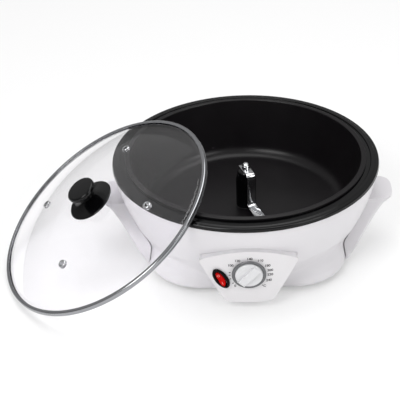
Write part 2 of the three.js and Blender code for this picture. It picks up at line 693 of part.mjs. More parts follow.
// Base cover: plate inside the housing's foot, with posts for the gear plate and vent slots
function baseCover() {
  const half = plinthHalf - PLINTH_TOP_INSET * PLINTH_INSET_SHARES[0] - HOUSING_WALL - FIT_GAP;
  const radius = PLINTH_CORNER_RADIUS - HOUSING_WALL - FIT_GAP;
  const plate = solid(lofted([squareRing(half, radius, 0), squareRing(half, radius, COVER_THICKNESS)]));
  const posts = gearPosts.map(([x, y]) => solid(rod(GEAR_POST_RADIUS, 0, postTop).translate(x, y, 0)));
  const pilots = gearPosts.map(([x, y]) => {
    const bottom = postTop - GEAR_SCREW_LENGTH;
    return solid(rod(SCREW_RADIUS + FIT_GAP, bottom, postTop + CUT_OVERRUN).translate(x, y, 0));
  });
  const screwHoles = cornersOf(coverScrewPlace).map(([x, y]) => (
    solid(rod(SCREW_RADIUS + FIT_GAP, -CUT_OVERRUN, COVER_THICKNESS + CUT_OVERRUN).translate(x, y, 0))));
  const footHoles = cornersOf(footPlace).map(([x, y]) => (
    solid(rod(FOOT_STEM_RADIUS + FIT_GAP, -CUT_OVERRUN, COVER_THICKNESS + CUT_OVERRUN).translate(x, y, 0))));
  const slotPlace = VENT_SLOT_INSET - plinthHalf;
  const slotHeight = COVER_THICKNESS + 2 * CUT_OVERRUN;
  const slots = Array.from({ length: VENT_SLOT_COUNT }, (_, i) => {
    const x = (i - (VENT_SLOT_COUNT - 1) / 2) * VENT_SLOT_PITCH;
    return solid(block(VENT_SLOT_WIDTH, VENT_SLOT_LENGTH, slotHeight, x, slotPlace, -CUT_OVERRUN));
  });
  return cut(join(plate, ...posts), ...pilots, ...screwHoles, ...footHoles, ...slots);
}

// Rubber foot: pad below the cover, stem through it and a head that holds it there
function rubberFoot() {
  const headBottom = COVER_THICKNESS + FIT_GAP;
  const headRadius = FOOT_STEM_RADIUS + FOOT_STEM_HEAD;
  return turned([
    [0, -FOOT_HEIGHT],
    [FOOT_RADIUS - FOOT_TAPER, -FOOT_HEIGHT],
    [FOOT_RADIUS, -FIT_GAP],
    [FOOT_STEM_RADIUS, -FIT_GAP],
    [FOOT_STEM_RADIUS, headBottom],
    [headRadius, headBottom],
    [FOOT_STEM_RADIUS, headBottom + FOOT_STEM_HEAD_HEIGHT],
    [0, headBottom + FOOT_STEM_HEAD_HEIGHT],
  ], SMALL_SIDES);
}

// Pan-head screw that points up +Z from its head at zero
const stockScrew = [SCREW_RADIUS, SCREW_HEAD_RADIUS, SCREW_HEAD_HEIGHT];

function screw(length, [radius, headRadius, headHeight] = stockScrew) {
  return turned([
    [0, -headHeight],
    [headRadius * Math.SQRT1_2, -headHeight],
    [headRadius, -headHeight / 2],
    [headRadius, 0],
    [radius, 0],
    [radius, length - radius],
    [0, length],
  ], SMALL_SIDES);
}

// Drive: flat motor under a steel plate, pinion and output gear above it
function gearOutline(teeth) {
  const pitchRadius = GEAR_MODULE * teeth / 2;
  const tip = pitchRadius + GEAR_MODULE - GEAR_ROOT_CLEARANCE / 2;
  const root = pitchRadius - GEAR_MODULE - GEAR_ROOT_CLEARANCE;
  const pitchHalf = (QUARTER_TURN * GEAR_MODULE - GEAR_BACKLASH) / 2 / pitchRadius;
  const points = [];
  for (let tooth = 0; tooth < teeth; tooth += 1) {
    const middle = FULL_TURN * tooth / teeth;
    const corners = [
      [root, -pitchHalf * (2 - TOOTH_TIP_SHARE)],
      [tip, -pitchHalf * TOOTH_TIP_SHARE],
      [tip, pitchHalf * TOOTH_TIP_SHARE],
      [root, pitchHalf * (2 - TOOTH_TIP_SHARE)],
    ];
    corners.forEach(([radius, angle]) => {
      points.push(new THREE.Vector2(radius * Math.cos(middle + angle), radius * Math.sin(middle + angle)));
    });
  }
  return new THREE.Shape(points);
}

function gear(teeth, boreRadius, hubRadius, turn) {
  const outline = solid(slab(gearOutline(teeth), gearBottom, gearTop).rotateZ(turn));
  const hub = solid(rod(hubRadius, gearBottom, gearTop + GEAR_HUB_HEIGHT, MEDIUM_SIDES));
  const bore = solid(rod(boreRadius, gearBottom - CUT_OVERRUN, gearTop + 2 * CUT_OVERRUN, SMALL_SIDES));
  return cut(join(outline, hub), bore);
}

const outputGear = () => gear(OUTPUT_TEETH, SHAFT_RADIUS + FIT_GAP, GEAR_HUB_RADIUS, QUARTER_TURN);

function motorPinion() {
  const halfTooth = Math.PI / PINION_TEETH;
  const hub = MOTOR_SHAFT_RADIUS + GEAR_HUB_HEIGHT;
  return gear(PINION_TEETH, MOTOR_SHAFT_RADIUS + FIT_GAP, hub, -QUARTER_TURN + halfTooth);
}

function driveMotor() {
  const bottom = COVER_THICKNESS + FIT_GAP;
  const bore = MOTOR_SHAFT_RADIUS + RUNNING_GAP;
  const boreBottom = postTop - MOTOR_SHAFT_DEPTH - RUNNING_GAP;
  return turned([
    [0, bottom],
    [MOTOR_RADIUS - MOTOR_EDGE, bottom],
    [MOTOR_RADIUS, bottom + MOTOR_EDGE],
    [MOTOR_RADIUS, postTop - MOTOR_EDGE],
    [MOTOR_RADIUS - MOTOR_EDGE, postTop],
    [bore, postTop],
    [bore, boreBottom],
    [0, boreBottom],
  ], MEDIUM_SIDES);
}

const motorShaft = () => rod(MOTOR_SHAFT_RADIUS, postTop - MOTOR_SHAFT_DEPTH, gearTop + GEAR_HUB_HEIGHT);

function gearPlate() {
  const shape = roundedOutline([
    [-GEAR_PLATE_REACH, -GEAR_PLATE_FRONT, GEAR_PLATE_CORNER],
    [GEAR_PLATE_REACH, -GEAR_PLATE_FRONT, GEAR_PLATE_CORNER],
    [GEAR_PLATE_REACH, GEAR_PLATE_FRONT, GEAR_PLATE_CORNER],
    [GEAR_PLATE_FRONT, GEAR_PLATE_TAIL, GEAR_PLATE_CORNER],
    [-GEAR_PLATE_FRONT, GEAR_PLATE_TAIL, GEAR_PLATE_CORNER],
    [-GEAR_PLATE_REACH, GEAR_PLATE_FRONT, GEAR_PLATE_CORNER],
  ]);
  const low = gearPlateBottom - CUT_OVERRUN;
  const high = gearPlateTop + CUT_OVERRUN;
  const bushHole = SHAFT_RADIUS + RUNNING_GAP + BUSH_WALL + FIT_GAP;
  const shaftHole = MOTOR_SHAFT_RADIUS + RUNNING_GAP + FIT_GAP;
  return cut(
    solid(slab(shape, gearPlateBottom, gearPlateTop)),
    solid(rod(bushHole, low, high, MEDIUM_SIDES)),
    solid(rod(shaftHole, low, high).translate(0, axleDistance, 0)),
    ...gearPosts.map(([x, y]) => solid(rod(SCREW_RADIUS + FIT_GAP, low, high).translate(x, y, 0))),
  );
}

// Dust cover over both gears, open below, seated on the gear plate
function gearCover() {
  const roof = gearTop + GEAR_HUB_HEIGHT + GEAR_COVER_ROOM;
  const bottom = gearPlateTop + FIT_GAP;
  const large = GEAR_MODULE * (OUTPUT_TEETH / 2 + 1) + GEAR_COVER_ROOM;
  const small = GEAR_MODULE * (PINION_TEETH / 2 + 1) + GEAR_COVER_ROOM;
  const lump = (grow, low, high) => join(
    solid(rod(large + grow, low, high, MEDIUM_SIDES)),
    solid(rod(small + grow, low, high, MEDIUM_SIDES).translate(0, axleDistance, 0)),
  );
  const outside = lump(GEAR_COVER_WALL, bottom, roof + GEAR_COVER_WALL);
  const inside = lump(0, bottom - CUT_OVERRUN, roof);
  const shaftHole = solid(rod(SHAFT_RADIUS + 2 * FIT_GAP, bottom, roof + 2 * CUT_OVERRUN, MEDIUM_SIDES));
  return cut(outside, inside, shaftHole);
}

// Bronze bushes: one flanged bush in the gear plate, one plain bush in the pan's collar
function plateBush() {
  const inner = SHAFT_RADIUS + RUNNING_GAP;
  const outer = inner + BUSH_WALL;
  const flangeTop = gearPlateBottom - FIT_GAP;
  return turned([
    [inner, flangeTop - BUSH_FLANGE_THICKNESS],
    [outer + BUSH_FLANGE, flangeTop - BUSH_FLANGE_THICKNESS],
    [outer + BUSH_FLANGE, flangeTop],
    [outer, flangeTop],
    [outer, gearPlateTop],
    [inner, gearPlateTop],
  ], MEDIUM_SIDES, true);
}

const collarBush = () => collar(
  SHAFT_RADIUS + RUNNING_GAP, SHAFT_RADIUS + RUNNING_GAP + BUSH_WALL,
  panUnderside, collarTop - SEAL_HEIGHT - FIT_GAP,
);

const shaftSeal = () => collar(
  SHAFT_RADIUS + RUNNING_GAP, SHAFT_RADIUS + RUNNING_GAP + BUSH_WALL,
  collarTop - SEAL_HEIGHT, collarTop,
);

function shaftClip() {
  const top = gearPlateBottom - FIT_GAP * 2 - BUSH_FLANGE_THICKNESS;
  return collar(SHAFT_RADIUS + FIT_GAP, SHAFT_RADIUS + CLIP_WIDTH, top - CLIP_THICKNESS, top, SMALL_SIDES);
}

// Stirrer: shaft with a threaded top, hub over the collar, bent steel arm and a cap nut
const stripBottom = HUB_TOP + FIT_GAP;
const nutBottom = stripBottom + STRIP_THICKNESS + FIT_GAP;

function driveShaft() {
  const top = nutBottom + NUT_HEIGHT;
  return turned([
    [0, SHAFT_BOTTOM],
    [SHAFT_RADIUS, SHAFT_BOTTOM],
    [SHAFT_RADIUS, HUB_TOP],
    [STUD_RADIUS, HUB_TOP],
    [STUD_RADIUS, top],
    [0, top],
  ], SMALL_SIDES);
}

function stirrerHub() {
  const bottom = panFloor + HUB_FLOOR_GAP;
  const room = collarBore + COLLAR_WALL + HUB_COLLAR_GAP;
  const bore = SHAFT_RADIUS + FIT_GAP;
  const shelf = collarTop + HUB_COLLAR_GAP;
  const centre = [HUB_TOP_RADIUS - HUB_SHOULDER, HUB_TOP - HUB_SHOULDER];
  return turned([
    [room + COLLAR_FILLET - HUB_FLOOR_GAP, bottom],
    [HUB_RADIUS, bottom],
    [HUB_RADIUS, (shelf + HUB_TOP) / 2],
    ...arc(...centre, HUB_SHOULDER, HUB_SHOULDER, 0, QUARTER_TURN),
    [bore, HUB_TOP],
    [bore, shelf],
    [room, shelf],
    [room, bottom + COLLAR_FILLET],
  ], MEDIUM_SIDES, true);
}

// Flat strip that follows a list of points, its width across the strip's own plane
function ribbon(route, across, thickness) {
  const rings = route.map((point, i) => {
    const next = route[Math.min(i + 1, route.length - 1)];
    const ahead = next.clone().sub(route[Math.max(i - 1, 0)]).normalize();
    const side = across[i].clone();
    const normal = ahead.clone().cross(side).normalize().multiplyScalar(thickness / 2);
    return [
      point.clone().add(side).add(normal),
      point.clone().sub(side).add(normal),
      point.clone().sub(side).sub(normal),
      point.clone().add(side).sub(normal),
    ];
  });
  return lofted(rings);
}

function stirrerArm() {
  const half = STRIP_WIDTH / 2;
  const top = stripBottom + STRIP_THICKNESS / 2;
  const low = panFloor + BLADE_FLOOR_GAP + half;
  const reach = panFootRadius - BLADE_WALL_GAP;
  const drop = HUB_RADIUS + STRIP_STANDOFF;
  const flat = new THREE.Vector3(0, half, 0);
  const sloped = new THREE.Vector3(0, half * Math.SQRT1_2, half * Math.SQRT1_2);
  const stops = [
    [-HUB_TOP_RADIUS, top, flat],
    [drop - STRIP_BEND, top, flat],
    [drop, top - STRIP_BEND, flat],
    [drop, low + STRIP_BEND, flat],
    [drop + STRIP_BEND, low, flat],
    [drop + STRIP_TWIST_LENGTH, low, sloped],
    [reach - BLADE_UPTURN, low, sloped],
    [reach - STRIP_BEND, low + BLADE_UPTURN / 2, sloped],
    [reach, low + BLADE_UPTURN, sloped],
  ];
  const route = stops.map(([x, z]) => new THREE.Vector3(x, 0, z));
  const strip = solid(ribbon(route, stops.map((stop) => stop[2]), STRIP_THICKNESS));
  const hole = solid(rod(STUD_RADIUS + FIT_GAP, HUB_TOP - CUT_OVERRUN, HUB_TOP + 2 * CUT_OVERRUN));
  return asGeometry(cut(strip, hole)).rotateZ(degrees(STIRRER_AZIMUTH));
}

function capNut() {
  const top = nutBottom + NUT_HEIGHT;
  const dome = arc(0, top, NUT_RADIUS - FIT_GAP * 2, NUT_DOME, 0, QUARTER_TURN);
  const profile = [[0, nutBottom], [NUT_RADIUS, nutBottom], [NUT_RADIUS, top], ...dome];
  const bore = rod(STUD_RADIUS + FIT_GAP, nutBottom - CUT_OVERRUN, top + FIT_GAP);
  return cut(solid(turned(profile, SMALL_SIDES)), solid(bore));
}

// Side ear: hollow wing that flares down to the base, open towards the housing
function earRing(level, inset, height) {
  const reachSpan = earTopReach - earFootReach;
  const widthSpan = EAR_FOOT_HALF_WIDTH - EAR_TOP_HALF_WIDTH;
  const edge = level === EAR_LEVEL_SHARES.length - 1 ? EAR_EDGE : 0;
  const reach = earFootReach + reachSpan * EAR_REACH_SHARES[level] - inset - edge;
  const half = EAR_TOP_HALF_WIDTH + widthSpan * EAR_WIDTH_SHARES[level] - inset - edge;
  const stand = Math.max(reach - bowlRadius(height), EAR_WALL);
  const depth = stand * EAR_ROUNDING_SHARE;
  const root = bowlFloorRadius - EAR_ROOT_DEPTH;
  const outer = Array.from({ length: 2 * EAR_CORNER_STEPS + 1 }, (_, i) => {
    const angle = -QUARTER_TURN + Math.PI * i / (2 * EAR_CORNER_STEPS);
    const [across, out] = [Math.sin(angle), Math.cos(angle)];
    const y = half * Math.sign(across) * Math.abs(across) ** (2 / EAR_CORNER_POWER);
    const x = reach - depth + depth * Math.abs(out) ** (2 / EAR_CORNER_POWER);
    return new THREE.Vector3(x, y, height);
  });
  return [new THREE.Vector3(root, -half, height), ...outer, new THREE.Vector3(root, half, height)];
}

function earSolid(inset) {
  const span = EAR_TOP - 2 * inset;
  return solid(lofted(EAR_LEVEL_SHARES.map((share, level) => earRing(level, inset, inset + span * share))));
}

const earScrewPlaces = () => [EAR_SCREW_PLACE, -EAR_SCREW_PLACE].map((y) => ({ y, z: EAR_SCREW_HEIGHT }));

function earHandle(side) {
  const outside = earSolid(0);
  const shell = cut(outside, earSolid(EAR_WALL));
  const bosses = earScrewPlaces().map(({ y, z }) => {
    const boss = rod(EAR_BOSS_RADIUS, bowlFloorRadius, earTopReach).rotateY(QUARTER_TURN);
    return solid(boss.translate(0, y, z)).intersect(outside);
  });
  const pilots = earScrewPlaces().map(({ y, z }) => {
    const tip = earScrewSeat(y, z) + EAR_SCREW_LENGTH + FIT_GAP;
    const pilot = rod(SCREW_RADIUS + FIT_GAP, bowlFloorRadius, tip).rotateY(QUARTER_TURN);
    return solid(pilot.translate(0, y, z));
  });
  const ear = cut(join(shell, ...bosses), ...pilots, housingEnvelope(FIT_GAP));
  return asGeometry(ear).rotateZ(side > 0 ? 0 : Math.PI);
}

// Where the head of an ear screw rests inside the housing's sloping wall
function earScrewSeat(y, z) {
  const inner = bowlRadius(z - SCREW_HEAD_RADIUS) - HOUSING_WALL;
  const far = Math.abs(y) + SCREW_HEAD_RADIUS;
  return Math.sqrt(inner * inner - far * far) - FIT_GAP;
}

// Control panel: curved plate with openings for the knob's neck and the switch
function controlPanel() {
  const plate = panelPrism(0, 0).intersect(cut(panelCone(0), panelCone(-PANEL_THICKNESS)));
  const depth = PANEL_THICKNESS + CUT_OVERRUN * 2;
  const neckHole = inFrame(rod(THERMOSTAT_NECK_RADIUS + FIT_GAP, -depth, depth, MEDIUM_SIDES), knobFrame);
  const opening = ovalShape(SWITCH_LONG - 2 * SWITCH_NECK_INSET, SWITCH_SHORT - 2 * SWITCH_NECK_INSET);
  const switchHole = inFrame(slab(opening, -depth, depth), switchFrame);
  return cut(plate, solid(neckHole), solid(switchHole));
}

// Thermostat: box behind the panel with a neck through it and a nut in front
function thermostatBody() {
  const front = -PANEL_THICKNESS - THERMOSTAT_SET_BACK;
  const neckTop = THERMOSTAT_NUT_HEIGHT + FIT_GAP;
  const boreBottom = front - THERMOSTAT_STUB - RUNNING_GAP;
  const box = block(THERMOSTAT_WIDTH, THERMOSTAT_HEIGHT, THERMOSTAT_DEPTH, 0, 0, front - THERMOSTAT_DEPTH);
  const neck = rod(THERMOSTAT_NECK_RADIUS, front - FIT_GAP, neckTop, MEDIUM_SIDES);
  const bore = rod(SHAFT_RADIUS + RUNNING_GAP, boreBottom, neckTop + CUT_OVERRUN, MEDIUM_SIDES);
  return cut(join(solid(box), solid(neck)), solid(bore));
}

const thermostatNut = () => cut(
  solid(rod(THERMOSTAT_NUT_RADIUS, FIT_GAP, THERMOSTAT_NUT_HEIGHT, THERMOSTAT_NUT_SIDES)),
  solid(rod(THERMOSTAT_NECK_RADIUS + FIT_GAP, -CUT_OVERRUN, THERMOSTAT_NUT_HEIGHT * 2, MEDIUM_SIDES)),
);

// Knob: white cap with a grip bar, a bright ring round it and the thermostat's shaft inside
const knobFace = KNOB_LIFT + KNOB_HEIGHT;
const knobBoreTop = knobFace + KNOB_GRIP_RISE - KNOB_ROOF;

function knobShaft() {
  const bottom = -PANEL_THICKNESS - THERMOSTAT_SET_BACK - THERMOSTAT_STUB;
  return rod(SHAFT_RADIUS, bottom, knobBoreTop - FIT_GAP);
}

function temperatureKnob() {
  const flange = KNOB_RING_RADIUS - KNOB_EDGE;
  const body = KNOB_RING_RADIUS - KNOB_RING_WIDTH - FIT_GAP;
  const inner = body - KNOB_WALL;
  const roof = knobFace - KNOB_ROOF;
  const cap = solid(turned([
    [0, roof],
    [inner, roof],
    [inner, KNOB_LIFT],
    [flange, KNOB_LIFT],
    [flange, KNOB_LIFT + KNOB_FLANGE],
    [body, KNOB_LIFT + KNOB_FLANGE],
    [body, knobFace - KNOB_EDGE],
    [body - KNOB_EDGE, knobFace],
    [0, knobFace],
  ], MEDIUM_SIDES));
  const half = body - KNOB_EDGE;
  const grip = roundedOutline([
    [-half, knobFace - KNOB_EDGE, 0],
    [half, knobFace - KNOB_EDGE, 0],
    [half, knobFace, 0],
    [half - KNOB_GRIP_RISE, knobFace + KNOB_GRIP_RISE, KNOB_GRIP_RISE],
    [-half + KNOB_GRIP_RISE, knobFace + KNOB_GRIP_RISE, KNOB_GRIP_RISE],
    [-half, knobFace, 0],
  ]);
  const bar = solid(slab(grip, -KNOB_GRIP_WIDTH / 2, KNOB_GRIP_WIDTH / 2).rotateX(QUARTER_TURN));
  const bore = solid(rod(SHAFT_RADIUS + FIT_GAP, roof - CUT_OVERRUN, knobBoreTop));
  return asGeometry(cut(join(cap, bar), bore)).rotateZ(QUARTER_TURN - degrees(KNOB_REST_ANGLE));
}

function knobRing() {
  const bottom = KNOB_LIFT + KNOB_FLANGE + FIT_GAP;
  const top = bottom + KNOB_RING_HEIGHT;
  const inner = KNOB_RING_RADIUS - KNOB_RING_WIDTH;
  return turned([
    [inner, bottom],
    [KNOB_RING_RADIUS, bottom],
    [KNOB_RING_RADIUS, top - KNOB_RING_EDGE],
    [KNOB_RING_RADIUS - KNOB_RING_EDGE, top],
    [inner + KNOB_RING_EDGE / 2, top],
    [inner, top - KNOB_RING_EDGE / 2],
  ], MEDIUM_SIDES, true);
}

// Rocker switch: black oval bezel with a body behind, red rocker on a pivot inside it
const cavityLong = SWITCH_LONG - 2 * SWITCH_BORDER;
const cavityShort = SWITCH_SHORT - 2 * SWITCH_BORDER;

function switchBezel() {
  const neckInset = 2 * (SWITCH_NECK_INSET + FIT_GAP);
  const neck = ovalShape(SWITCH_LONG - neckInset, SWITCH_SHORT - neckInset);
  const lip = solid(slab(ovalShape(SWITCH_LONG, SWITCH_SHORT), SWITCH_LIP_GAP, SWITCH_LIP_GAP + SWITCH_LIP));
  const body = solid(slab(neck, -SWITCH_BODY_DEPTH, SWITCH_LIP_GAP + SWITCH_LIP / 2));
  const cavity = slab(ovalShape(cavityLong, cavityShort), -SWITCH_CAVITY_DEPTH, SWITCH_LIP * 2);
  return cut(join(lip, body), solid(cavity));
}

function switchRocker() {
  const long = cavityLong - 2 * ROCKER_END_GAP;
  const short = cavityShort - 2 * ROCKER_SIDE_GAP;
  const face = SWITCH_LIP_GAP + SWITCH_LIP;
  const lift = Math.tan(degrees(ROCKER_SWING)) * long / 2;
  const side = new THREE.Shape([
    new THREE.Vector2(-long / 2, face - ROCKER_DEPTH / 2),
    new THREE.Vector2(-long / 4, face - ROCKER_DEPTH),
    new THREE.Vector2(long / 4, face - ROCKER_DEPTH),
    new THREE.Vector2(long / 2, face - ROCKER_DEPTH / 2),
    new THREE.Vector2(long / 2, face + lift),
    new THREE.Vector2(0, face - ROCKER_CREST),
    new THREE.Vector2(-long / 2, face + lift),
  ]);
  const wedge = solid(slab(side, -short / 2, short / 2).rotateX(QUARTER_TURN).rotateZ(QUARTER_TURN));
  const plan = solid(slab(ovalShape(long, short), -SWITCH_CAVITY_DEPTH, SWITCH_BODY_DEPTH));
  return asGeometry(wedge.intersect(plan)).rotateX(-degrees(ROCKER_SWING));
}

// Cord bush: rubber bush in the rear wall with its flanges inside and outside
function cordBush() {
  const inside = -HOUSING_WALL - CORD_BUSH_FLANGE_GAP;
  return turned([
    [BUSH_CORD_RADIUS, inside - CORD_BUSH_FLANGE_THICKNESS],
    [CORD_BUSH_FLANGE_RADIUS, inside - CORD_BUSH_FLANGE_THICKNESS],
    [CORD_BUSH_FLANGE_RADIUS, inside],
    [CORD_BUSH_NECK_RADIUS, inside],
    [CORD_BUSH_NECK_RADIUS, CORD_BUSH_FLANGE_GAP],
    [CORD_BUSH_FLANGE_RADIUS, CORD_BUSH_FLANGE_GAP],
    [CORD_BUSH_FLANGE_RADIUS, CORD_BUSH_FLANGE_GAP + CORD_BUSH_FLANGE_THICKNESS],
    [CORD_BUSH_NECK_RADIUS, CORD_BUSH_FLANGE_GAP + CORD_BUSH_FLANGE_THICKNESS],
    [BUSH_CORD_RADIUS + FIT_GAP * 3, CORD_BUSH_NOSE],
    [BUSH_CORD_RADIUS, CORD_BUSH_NOSE],
  ], MEDIUM_SIDES, true);
}

function terminalBlock() {
  const bottom = COVER_THICKNESS + FIT_GAP;
  const body = solid(block(TERMINAL_LENGTH, TERMINAL_WIDTH, TERMINAL_HEIGHT, 0, 0, bottom));
  const top = bottom + TERMINAL_HEIGHT;
  const holes = Array.from({ length: TERMINAL_POLES }, (_, i) => {
    const x = (i - (TERMINAL_POLES - 1) / 2) * TERMINAL_LENGTH / TERMINAL_POLES;
    const hole = rod(TERMINAL_HOLE_RADIUS, top - TERMINAL_HEIGHT / 2, top + CUT_OVERRUN, SMALL_SIDES / 2);
    return solid(hole.translate(x, 0, 0));
  });
  const place = plinthHalf - TERMINAL_INSET;
  return asGeometry(cut(body, ...holes)).translate(-place, place / 2, 0);
}

function thermalFuse() {
  const bottom = panUnderside - FIT_GAP - FUSE_HEIGHT;
  return block(FUSE_WIDTH, FUSE_LENGTH, FUSE_HEIGHT, FUSE_INSET - shieldHoleRadius, 0, bottom);
}

// Lid in its own frame: Z along its axis, zero at the height of the band's widest edge
const bandInner = lidRadius - LID_BAND_WIDTH;
const glassRadius = lidRadius - LID_BAND_WALL - FIT_GAP;
const glassBottom = LID_BAND_WALL + FIT_GAP - LID_BAND_HEIGHT / 2;
const domeRise = LID_DOME_HEIGHT - glassBottom - LID_GLASS_THICKNESS;
const domeReach = bandInner - LID_KNOB_SKIRT_RADIUS;
const padShare = LID_KNOB_SKIRT_RADIUS / bandInner;
const domeHeights = LID_DOME_SHARES.map((share) => {
  const spread = padShare + share * (1 - padShare);
  return glassBottom + domeRise * (1 - spread ** LID_DOME_POWER) / (1 - padShare ** LID_DOME_POWER);
});
const ventCircle = bandInner - VENT_CIRCLE_INSET;

function underGlass(radius) {
  return readOff(LID_DOME_SHARES, domeHeights, (radius - LID_KNOB_SKIRT_RADIUS) / domeReach);
}

function lidGlass() {
  const dome = LID_DOME_SHARES.map((share) => LID_KNOB_SKIRT_RADIUS + share * domeReach);
  const under = [LID_SCREW_HOLE_RADIUS, ...dome, glassRadius];
  const upper = under.map((radius) => [radius, underGlass(radius) + LID_GLASS_THICKNESS]);
  const lower = under.toReversed().map((radius) => [radius, underGlass(radius)]);
  const holes = ventFrames().map((frame) => {
    const hole = rod(VENT_NECK_RADIUS + FIT_GAP, -2 * CUT_OVERRUN, LID_GLASS_THICKNESS + 2 * CUT_OVERRUN);
    return solid(inFrame(hole, frame));
  });
  return cut(solid(turned([...upper, ...lower], LARGE_SIDES, true)), ...holes);
}

function lidBand() {
  const half = LID_BAND_HEIGHT / 2;
  const wall = LID_BAND_WALL;
  const channel = lidRadius - wall;
  const glassTop = glassBottom + LID_GLASS_THICKNESS + FIT_GAP;
  return turned([
    [bandInner, -half],
    [lidRadius - LID_BAND_EDGE, -half],
    [lidRadius, -half + LID_BAND_EDGE],
    [lidRadius, half - LID_BAND_EDGE],
    [lidRadius - LID_BAND_EDGE, half],
    [bandInner + wall, Math.max(half, glassTop + wall)],
    [bandInner + wall, glassTop],
    [channel, glassTop],
    [channel, glassBottom - FIT_GAP],
    [bandInner, glassBottom - FIT_GAP],
  ], LARGE_SIDES, true);
}

function ventFrames() {
  const drop = underGlass(ventCircle - VENT_NECK_RADIUS) - underGlass(ventCircle + VENT_NECK_RADIUS);
  const slope = Math.atan2(drop, 2 * VENT_NECK_RADIUS);
  return Array.from({ length: VENT_COUNT }, (_, i) => {
    const angle = degrees(VENT_FIRST_ANGLE) + FULL_TURN * i / VENT_COUNT;
    const frame = new THREE.Group();
    frame.position.set(ventCircle * Math.cos(angle), ventCircle * Math.sin(angle), underGlass(ventCircle));
    frame.rotation.set(0, slope, angle, 'ZYX');
    frame.updateMatrixWorld(true);
    return frame;
  });
}

function ventEyelet() {
  const under = -FIT_GAP;
  const over = LID_GLASS_THICKNESS + FIT_GAP;
  return turned([
    [VENT_HOLE_RADIUS, under - VENT_FLANGE_THICKNESS],
    [VENT_FLANGE_RADIUS, under - VENT_FLANGE_THICKNESS],
    [VENT_FLANGE_RADIUS, under],
    [VENT_NECK_RADIUS, under],
    [VENT_NECK_RADIUS, over],
    [VENT_FLANGE_RADIUS, over],
    [VENT_FLANGE_RADIUS - VENT_FLANGE_THICKNESS, over + VENT_FLANGE_THICKNESS],
    [VENT_HOLE_RADIUS, over + VENT_FLANGE_THICKNESS],
  ], SMALL_SIDES, true);
}

const crown = LID_DOME_HEIGHT + FIT_GAP;
const skirtTop = crown + LID_KNOB_SKIRT_EDGE + LID_KNOB_SKIRT_RISE;

function lidKnobSkirt() {
  return turned([
    [LID_SCREW_RADIUS + FIT_GAP, crown],
    [LID_KNOB_SKIRT_RADIUS - LID_KNOB_EDGE, crown],
    [LID_KNOB_SKIRT_RADIUS, crown + LID_KNOB_SKIRT_EDGE / 2],
    [LID_KNOB_SKIRT_RADIUS - LID_KNOB_EDGE, crown + LID_KNOB_SKIRT_EDGE],
    [LID_KNOB_FLARE_RADIUS, crown + LID_KNOB_SKIRT_EDGE + LID_KNOB_SKIRT_RISE / 2],
    [LID_KNOB_NECK_RADIUS, skirtTop],
    [LID_SCREW_RADIUS + FIT_GAP, skirtTop],
  ], MEDIUM_SIDES, true);
}

function lidKnob() {
  const top = crown + LID_KNOB_RISE;
  const discBottom = top - LID_KNOB_DISC;
  const bottom = skirtTop + FIT_GAP;
  const bore = LID_SCREW_RADIUS + FIT_GAP;
  const boreTop = crown + LID_SCREW_REACH + FIT_GAP;
  return turned([
    [bore, bottom],
    [LID_KNOB_NECK_RADIUS, bottom],
    [LID_KNOB_NECK_RADIUS, (bottom + discBottom) / 2],
    [LID_KNOB_RADIUS - LID_KNOB_EDGE, discBottom],
    [LID_KNOB_RADIUS, discBottom + LID_KNOB_EDGE],
    [LID_KNOB_RADIUS, top - LID_KNOB_EDGE],
    [LID_KNOB_RADIUS - LID_KNOB_EDGE, top],
    [0, top],
    [0, boreTop],
    [bore, boreTop],
  ], MEDIUM_SIDES, true);
}

const lidWasher = () => {
  const top = underGlass(0) - FIT_GAP;
  return collar(LID_SCREW_RADIUS + FIT_GAP, LID_WASHER_RADIUS, top - LID_WASHER_THICKNESS, top);
};

function lidScrew() {
  const seat = underGlass(0) - 2 * FIT_GAP - LID_WASHER_THICKNESS;
  const length = crown + LID_SCREW_REACH - seat;
  const sizes = [LID_SCREW_RADIUS, LID_SCREW_HEAD_RADIUS, LID_SCREW_HEAD_HEIGHT];
  return screw(length, sizes).translate(0, 0, seat);
}

